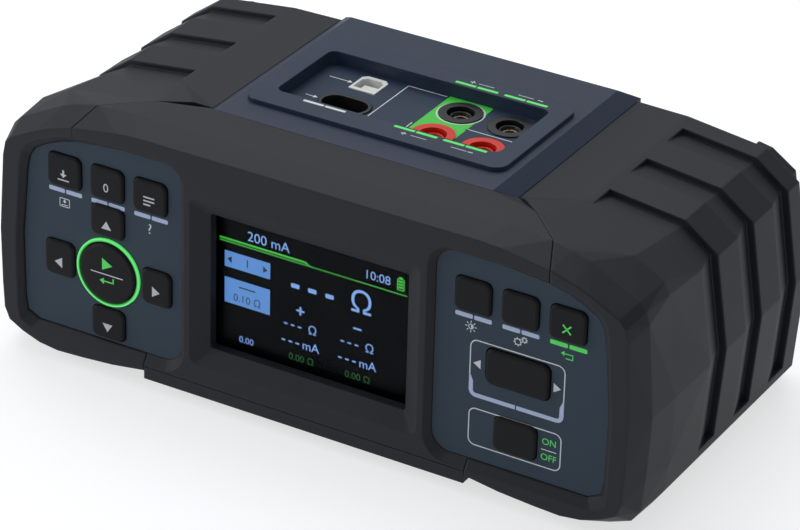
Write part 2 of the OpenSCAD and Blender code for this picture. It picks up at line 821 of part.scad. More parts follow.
module lower_shell() {
    gap = seam_gap / 2;
    open_w = bay_in_w - 2 * bay_gap;
    open_d = bay_in_d - 2 * bay_gap;
    color(graphite) difference() {
        union() {
            housing_walls();
            // Strip under the bezel
            both_sides() along_y(front_y, housing_y + overrun) translate([0, floor_z])
                square([seam_floor_x - gap, shell_wall]);
            both_sides() along_y(front_y, panel_y) translate([0, floor_z])
                square([seam_floor_x - gap, strip_z - gap - floor_z]);
            at_bosses() translate([0, 0, floor_z + shell_wall / 2])
                cylinder(h = split_z - floor_z, r = boss_r, $fn = 48);
            at_main_posts() translate([0, 0, floor_top_z])
                cylinder(h = main_board_z - floor_top_z, r = main_post_r, $fn = 32);
            at_door_screws() translate([0, 0, floor_z + shell_wall / 2])
                cylinder(h = door_boss_h, r = door_boss_r, $fn = 32);
            frame_boss(frame_low_shares);
        }
        below_split(split_z - seal_t / 2, body_h * 2);
        // Battery opening and its rebate
        translate([0, 0, floor_z - overrun]) linear_extrude(height = shell_wall + 2 * overrun)
            door_plate(open_w, open_d, door_r);
        translate([0, 0, floor_z - overrun]) linear_extrude(height = door_t + overrun)
            door_plate(bay_in_w + 2 * door_lap, bay_in_d + 2 * door_lap, door_r);
        at_door_screws() translate([0, 0, floor_z - overrun])
            cylinder(h = door_boss_h, r = door_screw_d / 2 + round_gap, $fn = 32);
        at_bosses() {
            translate([0, 0, floor_z - overrun])
                cylinder(h = split_z + overrun, r = screw_d / 2 + round_gap, $fn = 32);
            translate([0, 0, floor_z - overrun])
                cylinder(h = screw_seat + overrun, r = screw_head_d / 2 + round_gap, $fn = 32);
        }
        at_main_posts() translate([0, 0, main_board_z - small_screw_l])
            cylinder(h = small_screw_l + overrun, r = small_screw_d / 2 + round_gap, $fn = 32);
    }
}

module rear_panel() {
    y1 = housing_end_y - rear_in;
    vent_x = half_w * vent_x_share;
    color(graphite) difference() {
        both_sides() along_y(y1 - rear_t, y1) housing_section(shell_wall + seam_gap / 2);
        for (sx = [-1, 1], i = [0 : vent_count - 1])
            translate([sx * vent_x + (i - (vent_count - 1) / 2) * vent_pitch - vent_w / 2,
                y1 - rear_t - overrun, split_z - vent_h / 2])
                cube([vent_w, rear_t + 2 * overrun, vent_h]);
    }
}

// Sealing strip between the two shells, with a ring at each screw
module case_seal() {
    color(seal_black) intersection() {
        union() {
            housing_walls();
            at_bosses() difference() {
                translate([0, 0, split_z - seal_t])
                    cylinder(h = 2 * seal_t, r = boss_r, $fn = 48);
                translate([0, 0, split_z - 2 * seal_t])
                    cylinder(h = 4 * seal_t, r = screw_d / 2 + round_gap, $fn = 32);
            }
        }
        below_split(split_z - seal_t / 2, split_z + seal_t / 2);
    }
}

module at_module_screws() {
    for (sx = [-1, 1], sz = [-1, 1])
        translate([sx * (screen_w / 2 + module_screw_lap), 0,
            screen_z + sz * screen_h / 2 * module_screw_share]) children();
}

module y_rod(y0, y1, r) {
    translate([0, y1, 0]) rotate([90, 0, 0]) cylinder(h = y1 - y0, r = r, $fn = 32);
}

module front_frame() {
    gap = round_gap;
    mid = panel_mid;
    color(graphite) difference() {
        both_sides() along_y(frame_y, frame_end_y) union() {
            polygon(grown(sized(cavity_shares), mid, -gap, -gap));
            translate([0, body_h * cavity_shares[9][1] + gap])
                square([panel_in_x + panel_r, body_h * (cavity_shares[0][1]
                    - cavity_shares[9][1]) - 2 * gap]);
        }
        along_y(frame_y - overrun, frame_end_y + overrun) translate([0, screen_z])
            round_rect(screen_w + 2 * module_lap + 2 * module_gap,
                screen_h + 2 * module_lap + 2 * module_gap, screen_r);
        at_frame_screws(frame_high_shares)
            y_rod(frame_y - overrun, frame_end_y + overrun, screw_d / 2 + round_gap);
        at_frame_screws(frame_low_shares)
            y_rod(frame_y - overrun, frame_end_y + overrun, screw_d / 2 + round_gap);
        at_module_screws()
            y_rod(frame_y - overrun, frame_end_y + overrun, small_screw_d / 2 + round_gap);
    }
}

// Key panels, mats and boards; x and z give a key's middle
function left_keys() = [
    [left_x - key_pitch, key_row_z, key_w, key_h], [left_x, key_row_z, key_w, key_h],
    [left_x + key_pitch, key_row_z, key_w, key_h],
    [left_x, start_z + arrow_reach, arrow_l, arrow_d],
    [left_x, start_z - arrow_reach, arrow_l, arrow_d],
    [left_x - arrow_reach, start_z, arrow_d, arrow_l],
    [left_x + arrow_reach, start_z, arrow_d, arrow_l]];
function right_keys() = [
    [right_x - key_pitch, key_row_z, key_w, key_h], [right_x, key_row_z, key_w, key_h],
    [right_x + key_pitch, key_row_z, key_w, key_h], [right_x, power_z, power_w, power_h]];

module at_panel_posts() {
    for (x = [post_in_x_share, post_out_x_share], z = [post_high_z_share, post_low_z_share])
        translate([half_w * x, 0, body_h * z]) children();
}

// Plain right panel with the posts that press its board against the frame
module panel_blank() {
    along_y(panel_y, panel_back_y)
        panel_outline(grown(sized(panel_shares), panel_mid, panel_lap, panel_lap),
            panel_lap, panel_lap);
    at_panel_posts() y_rod(panel_back_y - slice_t, board_y, panel_post_r);
}

module key_holes(keys) {
    for (k = keys) along_y(panel_y - overrun, panel_back_y + overrun) translate([k[0], k[1]])
        round_rect(k[2] + 2 * key_gap, k[3] + 2 * key_gap, key_r + key_gap);
}

module left_key_panel() {
    color(slate) difference() {
        mirror([1, 0, 0]) panel_blank();
        key_holes(left_keys());
        translate([left_x, 0, start_z])
            y_rod(panel_y - overrun, panel_back_y + overrun, ring_out_r + face_gap);
    }
}

module right_key_panel() {
    color(slate) difference() {
        panel_blank();
        key_holes(right_keys());
        along_y(panel_y - overrun, panel_back_y + overrun) translate([right_x, rocker_z])
            round_rect(rocker_w + 2 * rocker_gap, rocker_h + 2 * rocker_gap, key_r + rocker_gap);
    }
}

module board_outline(d) {
    x0 = key_field_in_x + d;
    x1 = half_w * board_out_share - d;
    z0 = body_h * board_low_share + d;
    z1 = body_h * board_high_share - d;
    polygon([[x0, z0], [x1, z0], [x1, z1 - board_cut], [x1 - board_cut, z1], [x0, z1]]);
}

module key_mat() {
    difference() {
        along_y(mat_y, board_y) board_outline(mat_in);
        at_panel_posts() y_rod(mat_y - overrun, board_y + overrun, panel_post_r + round_gap);
    }
}

module left_key_mat() {
    color(seal_black) mirror([1, 0, 0]) key_mat();
}

module right_key_mat() {
    w = clip_w + 2 * clip_gap;
    h = rocker_h + 2 * clip_gap;
    color(seal_black) difference() {
        key_mat();
        translate([right_x - w / 2, mat_y - overrun, rocker_z - h / 2])
            cube([w, mat_t + 2 * overrun, h]);
    }
}

module key_board() {
    along_y(board_y, frame_y) board_outline(0);
}

module left_key_board() {
    color(board_green) mirror([1, 0, 0]) key_board();
}

module right_key_board() {
    color(board_green) key_board();
}

// Push key with a rounded front edge and a flange of its own reach on each side
module push_key(k, reach_x, reach_z) {
    color(key_black) translate([k[0], 0, k[1]]) {
        hull() {
            along_y(key_y, key_y + slice_t)
                round_rect(k[2] - 2 * key_edge, k[3] - 2 * key_edge, key_r - key_edge);
            along_y(key_y + key_edge, key_y + key_edge + slice_t)
                round_rect(k[2], k[3], key_r);
        }
        along_y(key_y + key_edge, flange_end_y) round_rect(k[2], k[3], key_r);
        along_y(flange_y, flange_end_y)
            round_rect(k[2] + 2 * reach_x, k[3] + 2 * reach_z, key_r);
    }
}

module save_key() {
    push_key(left_keys()[0], flange_reach, flange_reach);
}

module zero_key() {
    push_key(left_keys()[1], flange_reach, flange_reach);
}

module help_key() {
    push_key(left_keys()[2], flange_reach, flange_reach);
}

module up_key() {
    push_key(left_keys()[3], flange_reach, 0);
}

module down_key() {
    push_key(left_keys()[4], flange_reach, 0);
}

module left_key() {
    push_key(left_keys()[5], 0, flange_reach);
}

module right_key() {
    push_key(left_keys()[6], 0, flange_reach);
}

module backlight_key() {
    push_key(right_keys()[0], flange_reach, flange_reach);
}

module settings_key() {
    push_key(right_keys()[1], flange_reach, flange_reach);
}

module escape_key() {
    push_key(right_keys()[2], flange_reach, flange_reach);
}

module power_key() {
    push_key(right_keys()[3], flange_reach, flange_reach);
}

module start_key() {
    y0 = panel_back_y + ring_flange_t + face_gap;
    r = start_r;
    color(key_black) translate([left_x, 0, start_z]) {
        rotate([90, 0, 0]) rotate_extrude($fn = 96)
            polygon([[0, -y0], [0, -key_y], [r - key_edge, -key_y],
                [r, -key_y - key_edge], [r, -y0]]);
        y_rod(y0 - slice_t, y0 + start_flange_t, r + flange_reach);
    }
}

// Light ring, flush with the panel but for a narrow rise
module start_light_ring() {
    color(light_green) translate([left_x, 0, start_z]) difference() {
        union() {
            y_rod(panel_y - key_edge, panel_back_y + slice_t, ring_out_r);
            y_rod(panel_back_y, panel_back_y + ring_flange_t, ring_out_r + ring_flange_reach);
        }
        y_rod(panel_y - overrun, panel_back_y + overrun, ring_in_r);
    }
}

module function_rocker() {
    neck_y = panel_back_y - rocker_neck;
    hub_l = rocker_h - 2 * rocker_neck_in;
    pin_l = hub_l + 2 * (ear_gap + ear_t);
    r = rocker_pin_d / 2;
    color(key_black) translate([right_x, 0, rocker_z]) {
        hull() {
            along_y(key_y, key_y + slice_t)
                round_rect(rocker_w - 2 * key_edge, rocker_h - 2 * key_edge, key_r - key_edge);
            along_y(key_y + key_edge, key_y + key_edge + slice_t)
                round_rect(rocker_w, rocker_h, key_r);
        }
        along_y(key_y + key_edge, neck_y) round_rect(rocker_w, rocker_h, key_r);
        translate([-r, neck_y - slice_t, -hub_l / 2]) cube([2 * r, rocker_y - neck_y, hub_l]);
        translate([0, rocker_y, -pin_l / 2]) cylinder(h = pin_l, r = r, $fn = 48);
    }
}

// Clip on the board with two ears round the rocker's pins
module rocker_bracket() {
    ear_z = rocker_h / 2 - rocker_neck_in + ear_gap;
    ear_y = rocker_y - ear_front;
    base_y = board_y - clip_t;
    h = 2 * (ear_z + ear_t);
    color(steel) translate([right_x, 0, rocker_z]) difference() {
        union() {
            translate([-clip_w / 2, base_y, -h / 2]) cube([clip_w, clip_t, h]);
            for (z = [-ear_z - ear_t, ear_z])
                translate([-ear_w / 2, ear_y, z]) cube([ear_w, board_y - ear_y, ear_t]);
        }
        translate([0, rocker_y, -h]) cylinder(h = 2 * h,
            r = rocker_pin_d / 2 + rocker_pin_gap, $fn = 48);
    }
}

module display_window() {
    color([0.55, 0.62, 0.70]) along_y(window_y, window_end_y) translate([0, screen_z])
        round_rect(screen_w + 2 * window_lap, screen_h + 2 * window_lap, screen_r + window_lap);
}

module display_gasket() {
    color(seal_black) along_y(window_y - gasket_t, window_y) translate([0, screen_z])
        difference() {
            round_rect(screen_w + 2 * window_lap, screen_h + 2 * window_lap,
                screen_r + window_lap);
            round_rect(screen_w + window_lap / 2, screen_h + window_lap / 2, screen_r);
        }
}

module display_module() {
    w = screen_w + 2 * module_board_lap;
    h = screen_h + 2 * module_board_h_lap;
    color([0.62, 0.75, 0.82]) translate([0, 0, screen_z]) {
        along_y(module_y, frame_end_y + slice_t)
            round_rect(screen_w + 2 * module_lap, screen_h + 2 * module_lap, screen_r);
        difference() {
            along_y(frame_end_y, frame_end_y + board_t) square([w, h], center = true);
            translate([0, 0, -screen_z]) at_module_screws()
                y_rod(frame_end_y - overrun, frame_end_y + board_t + overrun,
                    small_screw_d / 2 + round_gap);
        }
        along_y(frame_end_y + board_t - slice_t, frame_end_y + board_t + connector_t)
            translate([0, -h / 3]) square([connector_w, connector_h], center = true);
    }
}

module connection_plate() {
    color(slate) translate([0, 0, field_z]) linear_extrude(height = plate_t) difference() {
        translate([0, plate_y]) round_rect(plate_w, plate_d, plate_r);
        translate([0, tray_y]) round_rect(tray_w, tray_d, tray_r);
    }
}

module at_sockets() {
    for (sx = [-1, 1], sy = [-1, 1])
        translate([socket_x + sx * socket_pitch / 2, socket_y + sy * socket_pitch / 2, 0])
            children();
}

module usb_outline(wall_x, wall_y) {
    w = usb_w / 2 + wall_x;
    d = usb_d / 2 + wall_y;
    polygon([[-w, -d], [w, -d], [w, d - usb_bevel], [w - usb_bevel, d], [-w + usb_bevel, d],
        [-w, d - usb_bevel]]);
}

module inlet_outline(grow) {
    round_rect(inlet_w + 2 * grow, inlet_d + 2 * grow, inlet_d / 2 + grow - slice_t);
}

module at_supply_posts() {
    for (sx = [-1, 1], sy = [-1, 1])
        translate([supply_x + sx * (supply_w / 2 - supply_in),
            tray_y + sy * (supply_d / 2 - supply_in), 0]) children();
}

module connection_tray() {
    w = tray_w + 2 * tray_wall;
    d = tray_d + 2 * tray_wall;
    color(slate) difference() {
        union() {
            tray_hole(0, tray_low_z, field_z);
            translate([0, tray_y, pocket_top_z - tray_lip_t]) linear_extrude(height = tray_lip_t)
                round_rect(w + 2 * tray_lip, d + 2 * tray_lip, tray_r + tray_lip);
            at_supply_posts() translate([0, 0, port_low_z])
                cylinder(h = tray_low_z - port_low_z + slice_t, r = supply_post_r, $fn = 32);
        }
        translate([0, tray_y, tray_z]) linear_extrude(height = tray_sink + overrun)
            round_rect(tray_w, tray_d, tray_r);
        at_sockets() translate([0, 0, tray_low_z - overrun])
            cylinder(h = tray_floor_t + 2 * overrun, r = socket_body_d / 2 + round_gap, $fn = 48);
        translate([usb_x, usb_y, tray_low_z - overrun])
            linear_extrude(height = tray_floor_t + 2 * overrun)
                usb_outline(usb_wall_x + face_gap, usb_wall_y + face_gap);
        translate([inlet_x, inlet_y, tray_low_z - overrun])
            linear_extrude(height = tray_floor_t + 2 * overrun)
                inlet_outline(inlet_wall + round_gap);
        at_supply_posts() translate([0, 0, port_low_z - overrun])
            cylinder(h = small_screw_l + overrun, r = small_screw_d / 2 + round_gap, $fn = 32);
    }
}

module test_socket(sx, sy) {
    translate([socket_x + sx * socket_pitch / 2, socket_y + sy * socket_pitch / 2, 0])
        difference() {
            union() {
                translate([0, 0, tray_z]) cylinder(h = socket_rise, r = socket_d / 2, $fn = 96);
                translate([0, 0, socket_low_z])
                    cylinder(h = tray_z - socket_low_z + slice_t, r = socket_body_d / 2,
                        $fn = 96);
            }
            translate([0, 0, socket_low_z + socket_wall_z])
                cylinder(h = socket_z - socket_low_z, r = socket_mouth_d / 2, $fn = 96);
            translate([0, 0, socket_low_z - overrun])
                cylinder(h = socket_z, r = sleeve_bore_d / 2 + sleeve_wall + round_gap, $fn = 48);
        }
}

module current_plus_socket() {
    color(key_black) test_socket(-1, 1);
}

module current_minus_socket() {
    color(key_black) test_socket(1, 1);
}

module voltage_plus_socket() {
    color(socket_red) test_socket(-1, -1);
}

module voltage_minus_socket() {
    color(socket_red) test_socket(1, -1);
}

module socket_contacts() {
    r = sleeve_bore_d / 2;
    color(plated) at_sockets() {
        difference() {
            translate([0, 0, sleeve_low_z]) cylinder(h = sleeve_l, r = r + sleeve_wall, $fn = 48);
            translate([0, 0, sleeve_low_z + sleeve_collar_t])
                cylinder(h = sleeve_l, r = r, $fn = 48);
        }
        translate([0, 0, sleeve_low_z])
            cylinder(h = sleeve_collar_t, r = sleeve_collar_r, $fn = 48);
        translate([0, 0, sleeve_low_z - sleeve_tail_l])
            cylinder(h = sleeve_tail_l + slice_t, r = sleeve_tail_d / 2, $fn = 32);
    }
}

module socket_nuts() {
    flat_r = nut_flats / 2 / cos(30);
    color(key_black) at_sockets() translate([0, 0, tray_low_z - nut_t]) difference() {
        cylinder(h = nut_t, r = flat_r, $fn = 6);
        translate([0, 0, -overrun])
            cylinder(h = nut_t + 2 * overrun, r = socket_body_d / 2 + round_gap, $fn = 48);
    }
}

module usb_socket() {
    color("white") translate([usb_x, usb_y, port_low_z]) difference() {
        linear_extrude(height = port_l) usb_outline(usb_wall_x, usb_wall_y);
        translate([0, 0, usb_floor_t]) linear_extrude(height = port_l) usb_outline(0, 0);
    }
}

module usb_tongue() {
    color("white") translate([usb_x, usb_y, port_low_z + usb_floor_t])
        translate([-tongue_w / 2, -tongue_d / 2, 0])
            cube([tongue_w, tongue_d, port_l - usb_floor_t - tongue_sink]);
}

module at_pins() {
    for (sx = [-1, 1]) translate([inlet_x + sx * inlet_pitch / 2, inlet_y, 0]) children();
}

module mains_inlet() {
    color(key_black) difference() {
        translate([inlet_x, inlet_y, port_low_z]) difference() {
            linear_extrude(height = port_l) inlet_outline(inlet_wall);
            translate([0, 0, inlet_floor_t]) linear_extrude(height = port_l) inlet_outline(0);
        }
        at_pins() translate([0, 0, port_low_z - overrun])
            cylinder(h = inlet_floor_t + 2 * overrun, r = pin_d / 2 + round_gap, $fn = 32);
    }
}

module mains_pins() {
    z0 = port_low_z - pin_tail;
    color(plated) at_pins() translate([0, 0, z0])
        cylinder(h = port_z - pin_sink - z0, r = pin_d / 2, $fn = 48);
}

module supply_board() {
    color(board_green) difference() {
        translate([supply_x - supply_w / 2, tray_y - supply_d / 2, supply_z])
            cube([supply_w, supply_d, board_t]);
        at_supply_posts() translate([0, 0, supply_z - overrun])
            cylinder(h = board_t + 2 * overrun, r = small_screw_d / 2 + round_gap, $fn = 32);
        at_pins() translate([0, 0, supply_z - overrun])
            cylinder(h = board_t + 2 * overrun, r = pin_d / 2 + round_gap, $fn = 32);
    }
}

module main_board() {
    color(board_green) {
        difference() {
            translate([-main_board_w / 2, main_board_y - main_board_d / 2, main_board_z])
                cube([main_board_w, main_board_d, board_t]);
            at_main_posts() translate([0, 0, main_board_z - overrun])
                cylinder(h = board_t + 2 * overrun, r = small_screw_d / 2 + round_gap, $fn = 32);
            // Notches round the front screw bosses
            at_bosses() translate([0, 0, main_board_z - overrun])
                cylinder(h = board_t + 2 * overrun, r = boss_r + round_gap, $fn = 32);
        }
        for (i = [-1, 0])
            translate([i * 2 * chip_w, main_board_y - main_board_d / 4, main_top_z - slice_t])
                cube([chip_w, chip_w, chip_t]);
        for (i = [-1, 1])
            translate([i * 2 * cap_r, main_board_y + main_board_d / 3, main_top_z - slice_t])
                cylinder(h = cap_h, r = cap_r, $fn = 32);
    }
}

module transformer() {
    core_d = transformer_d - 2 * winding_out;
    color([0.35, 0.33, 0.30]) translate([transformer_x, main_board_y, main_top_z]) {
        translate([-transformer_w / 2, -core_d / 2, 0])
            cube([transformer_w, core_d, transformer_h]);
        translate([0, 0, winding_in])
            linear_extrude(height = transformer_h - 2 * winding_in)
                round_rect(transformer_w - 4 * winding_in, transformer_d, winding_in);
    }
}

// Four-terminal shunt: two end blocks and a bent strip between them
module shunt_resistor() {
    color([0.72, 0.45, 0.25]) translate([shunt_x, main_board_y, main_top_z]) {
        for (s = [-1, 1])
            translate([-shunt_w / 2, s * (shunt_d / 2 - shunt_end / 2) - shunt_end / 2, 0])
                cube([shunt_w, shunt_end, shunt_h]);
        translate([-shunt_w / 2, -shunt_d / 2 + shunt_end / 2, shunt_h - shunt_step])
            cube([shunt_w, shunt_d - shunt_end, shunt_step]);
    }
}

module heat_sink() {
    pitch = (sink_w - fin_t) / (fin_count - 1);
    color([0.55, 0.56, 0.58]) translate([sink_x - sink_w / 2, main_board_y - sink_d / 2,
        main_top_z]) {
        cube([sink_w, sink_d, sink_base_t]);
        for (i = [0 : fin_count - 1])
            translate([i * pitch, 0, sink_base_t - slice_t]) cube([fin_t, sink_d, fin_h]);
    }
}

module battery_tray() {
    color(key_black) difference() {
        translate([0, 0, floor_top_z]) linear_extrude(height = bay_in_h + bay_wall)
            door_plate(bay_in_w + 2 * bay_wall, bay_in_d + 2 * bay_wall, bay_r);
        translate([0, 0, floor_top_z - overrun]) linear_extrude(height = bay_in_h + overrun)
            door_plate(bay_in_w, bay_in_d, bay_r - bay_wall);
    }
}

module battery_cells() {
    pitch = cell_d + cell_gap;
    color([0.25, 0.45, 0.60]) for (i = [0 : cell_count - 1])
        translate([(i - (cell_count - 1) / 2) * pitch, bay_y - (cell_l + cell_cap_h) / 2,
            floor_top_z + bay_gap + cell_d / 2]) rotate([-90, 0, 0]) {
            cylinder(h = cell_l, r = cell_d / 2, $fn = 48);
            cylinder(h = cell_l + cell_cap_h, r = cell_cap_r, $fn = 32);
        }
}

module battery_door() {
    color(graphite) difference() {
        union() {
            translate([0, 0, floor_z]) linear_extrude(height = door_t)
                door_plate(bay_in_w + 2 * (door_lap - door_gap),
                    bay_in_d + 2 * (door_lap - door_gap), door_r);
            translate([0, 0, floor_z + door_t - slice_t])
                linear_extrude(height = shell_wall - door_t + slice_t)
                    door_plate(bay_in_w - 2 * (bay_gap + door_gap),
                        bay_in_d - 2 * (bay_gap + door_gap), door_r);
        }
        at_door_screws() translate([0, 0, floor_z - overrun])
            cylinder(h = door_t + 2 * overrun, r = door_screw_d / 2 + round_gap, $fn = 32);
    }
}

// Screw along +Z with its head below the origin
module screw(d, l, head_d, head_t) {
    translate([0, 0, -head_t / 2]) cylinder(h = l + head_t / 2, r = d / 2, $fn = 32);
    translate([0, 0, -head_t]) cylinder(h = head_t, r = head_d / 2, $fn = 32);
}

module battery_door_screws() {
    color(steel) at_door_screws() translate([0, 0, floor_z])
        screw(door_screw_d, door_boss_h - door_t, small_head_d, floor_z / 3);
}

module board_screws() {
    color(steel) {
        at_main_posts() translate([0, 0, main_top_z]) rotate([180, 0, 0])
            screw(small_screw_d, small_screw_l, small_head_d, small_head_t);
        at_supply_posts() translate([0, 0, supply_z])
            screw(small_screw_d, small_screw_l, small_head_d, small_head_t);
        at_module_screws() translate([0, frame_end_y + board_t, 0]) rotate([90, 0, 0])
            screw(small_screw_d, board_t + frame_t - face_gap, small_head_d, small_head_t);
    }
}

module frame_screws() {
    for (shares = [frame_high_shares, frame_low_shares])
        color(steel) at_frame_screws(shares) translate([0, frame_y, 0]) rotate([-90, 0, 0])
            screw(screw_d, frame_screw_l, screw_head_d, small_head_t);
}

module housing_screws() {
    color(steel) at_bosses() translate([0, 0, floor_z + screw_seat])
        screw(screw_d, housing_screw_l, screw_head_d, screw_head_t);
}

top_cover();
lower_shell();
front_bezel();
left_bumper();
right_bumper();
rear_panel();
case_seal();
front_frame();
left_key_panel();
right_key_panel();
left_key_mat();
right_key_mat();
left_key_board();
right_key_board();
save_key();
zero_key();
help_key();
up_key();
down_key();
left_key();
right_key();
start_key();
start_light_ring();
backlight_key();
settings_key();
escape_key();
function_rocker();
rocker_bracket();
power_key();
display_window();
display_gasket();
display_module();
connection_plate();
connection_tray();
current_plus_socket();
current_minus_socket();
voltage_plus_socket();
voltage_minus_socket();
socket_contacts();
socket_nuts();
usb_socket();
usb_tongue();
mains_inlet();
mains_pins();
main_board();
supply_board();
transformer();
shunt_resistor();
heat_sink();
battery_tray();
battery_cells();
battery_door();
battery_door_screws();
board_screws();
frame_screws();
housing_screws();
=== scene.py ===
"""A bench micro ohmmeter: housing, keys, lit display and connection field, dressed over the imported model."""

import functools
import json
import math

import bmesh
import bpy
from mathutils import Euler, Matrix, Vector


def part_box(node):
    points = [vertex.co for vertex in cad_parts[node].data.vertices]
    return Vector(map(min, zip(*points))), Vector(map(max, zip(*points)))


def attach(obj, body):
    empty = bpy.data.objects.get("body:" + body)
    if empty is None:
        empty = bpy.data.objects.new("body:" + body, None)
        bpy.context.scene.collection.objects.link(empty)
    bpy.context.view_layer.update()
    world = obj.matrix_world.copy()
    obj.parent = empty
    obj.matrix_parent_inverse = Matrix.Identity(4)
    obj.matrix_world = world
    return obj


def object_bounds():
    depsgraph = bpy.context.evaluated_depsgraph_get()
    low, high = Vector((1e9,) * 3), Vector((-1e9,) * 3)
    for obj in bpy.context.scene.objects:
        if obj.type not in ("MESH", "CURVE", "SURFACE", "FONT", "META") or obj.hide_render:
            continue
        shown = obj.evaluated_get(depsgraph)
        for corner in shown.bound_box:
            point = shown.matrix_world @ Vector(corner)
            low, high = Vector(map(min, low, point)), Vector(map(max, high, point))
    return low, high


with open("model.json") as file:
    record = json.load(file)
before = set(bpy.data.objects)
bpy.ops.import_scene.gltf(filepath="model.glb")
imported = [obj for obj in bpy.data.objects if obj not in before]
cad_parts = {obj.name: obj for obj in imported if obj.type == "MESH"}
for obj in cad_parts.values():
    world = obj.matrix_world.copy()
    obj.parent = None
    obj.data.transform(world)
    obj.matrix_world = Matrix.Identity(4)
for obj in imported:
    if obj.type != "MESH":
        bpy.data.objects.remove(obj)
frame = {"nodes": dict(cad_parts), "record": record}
CAD_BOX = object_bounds()

bl_info = {
    "name": "Micro Ohmmeter",
    "version": (1, 0, 0),
    "blender": (4, 5, 0),
    "location": "View3D > Sidebar > Ohmmeter",
    "description": "Finishes, printed marks and a studio stage for a bench micro ohmmeter",
    "category": "Object",
}

MM = 0.001
HOUSING = "housing"
SLOT_OF = {part["node"]: part["material_slot"] for part in frame["record"]["subparts"]}

# Places and sizes of the marks, in millimetres. On the front they are given across and up,
# on top across and back. A box is left, low, right and high.
SUNK = 0.02
KEY_BAR_LEFTS = (-102.9, -85.5, -68.1, 56.45, 73.9)
ESCAPE_BAR_LEFT = 91.3
KEY_BAR_Z = 66.1
UNDER_BAR_Z = 62.4
ROCKER_BOX = (62.4, 36.8, 97.5, 58.2)
ROCKER_BEND = (42.6, 45.2)
ROCKER_ARROWS = ((65.3, -1), (94.6, 1))
ROCKER_ARROW_Z = 49.4
POWER_BOX = (62.7, 18.5, 97.3, 32.7)
POWER_WORD_X, POWER_WORD_SIZE = 92.8, 3.4
POWER_RULE = ((89.9, 25.3), (95.6, 25.3))
SIGN_DROP = 1.3
SCREEN_PRINT = 0.04
BUTTON_X, BUTTON_W = -27.2, 18.0
READING_COLUMNS = (0, 22.2)
READING_ROWS = (("Ω", 37.5, -11.9, -1.4), ("mA", 31.0, -12.7, -2.0))
PLATE_GREEN_BARS = ((5.0, 25.4), (24.1, 25.4), (4.4, -15.1), (23.3, -15.1))
PLATE_BAR_W = 16.6
PLATE_SIGNS = ((10.4, 28.0, "+"), (36.6, 28.0, "-"), (9.9, -18.3, "+"), (35.4, -18.3, "-"))
TRAY_FLOOR = 93.63
TRAY_LINES = (
    ((-11.8, -13.4), (-11.8, 22.6)), ((-11.8, 22.5), (3.4, 22.5)), ((3.2, -13.4), (3.2, -1.0)),
    ((21.6, 4.8), (40.6, 4.8)), ((-38.5, 14.2), (-30.6, 14.2)), ((-38.2, -2.2), (-34.6, -2.2)),
)
TRAY_ARROW_TIPS = ((-29.4, 14.2), (-33.4, -2.2))
PATCH_BOX = (4.2, -13.6, 21.4, 23.3)
PATCH_PARTING = 4.25
PATCH_HOLE_R = 7.5
SOCKET_RING_R = (8.5, 8.05)
SLEEVE_PROFILE = ((3.05, 86.0), (3.05, 92.5), (3.2, 92.75), (3.75, 92.75), (3.95, 92.5), (3.95, 86.0))
SLEEVE_STEPS = 40


def linear(red, green, blue):
    """A colour given as on a screen, 0 to 255, as the light values that shaders use"""
    def one(value):
        share = value / 255
        return share / 12.92 if share <= 0.04045 else ((share + 0.055) / 1.055) ** 2.4
    return (one(red), one(green), one(blue))


def four(colour):
    return (*colour[:3], 1.0)


def scaled(colour, factor):
    return tuple(min(1.0, value * factor) for value in colour[:3])


# ---------------------------------------------------------------- settings

def colour_setting(name, description, default):
    return bpy.props.FloatVectorProperty(
        name=name, description=description, default=default, size=3, min=0, max=1, subtype="COLOR"
    )


def length_setting(name, description, default):
    return bpy.props.FloatProperty(
        name=name, description=description, default=default, min=0, unit="LENGTH", subtype="DISTANCE"
    )


class FinishSettings(bpy.types.PropertyGroup):
    """Colours of the moulded and printed surfaces"""

    cover: colour_setting("Cover", "Moulded plastic of the covers", linear(44, 53, 71))
    bumper: colour_setting("Bumper", "Rubber of the side bumpers", linear(39, 41, 46))
    bezel: colour_setting("Bezel", "Moulded plastic round the display", linear(48, 48, 52))
    panel: colour_setting("Panel", "Film of the key panels", linear(54, 69, 82))
    field: colour_setting("Connection field", "Film of the plate and tray", linear(44, 57, 75))
    key: colour_setting("Key", "Rubber of the keys", linear(29, 29, 31))
    bar: colour_setting("Key bar", "Print of the bars under the keys", linear(206, 220, 252))
    mark: colour_setting("Mark", "Print of thin frames and signs", linear(244, 247, 252))
    # the light of the green marks is a painted glow on the print
    green: colour_setting("Green", "Print and light of the green marks", linear(94, 236, 104))
    light: colour_setting("Light ring", "Glow of the ring round the start key", linear(92, 232, 112))
    red: colour_setting("Red socket", "Plastic of the voltage sockets", linear(228, 44, 22))
    black: colour_setting("Black socket", "Plastic of the current sockets", linear(26, 26, 28))
    white: colour_setting("White socket", "Plastic of the data socket", linear(232, 234, 228))
    board: colour_setting("Board", "Solder resist of the boards", linear(22, 92, 52))
    jacket: colour_setting("Cell jacket", "Film round the cells", linear(46, 104, 168))


class ScreenSettings(bpy.types.PropertyGroup):
    """Colours of the lit display"""

    ground: colour_setting("Ground", "Unlit screen", linear(5, 6, 10))
    button: colour_setting("Button", "Lit fields at the left", linear(82, 138, 206))
    reading: colour_setting("Reading", "Signs of the readings", linear(128, 170, 238))
    line: colour_setting("Line", "Line under the heading", linear(58, 196, 52))
    dim: colour_setting("Dim", "Limits under the readings", linear(22, 84, 34))
    glow: bpy.props.FloatProperty(
        name="Glow", description="Strength of the lit signs", default=0.95, min=0, max=4
    )


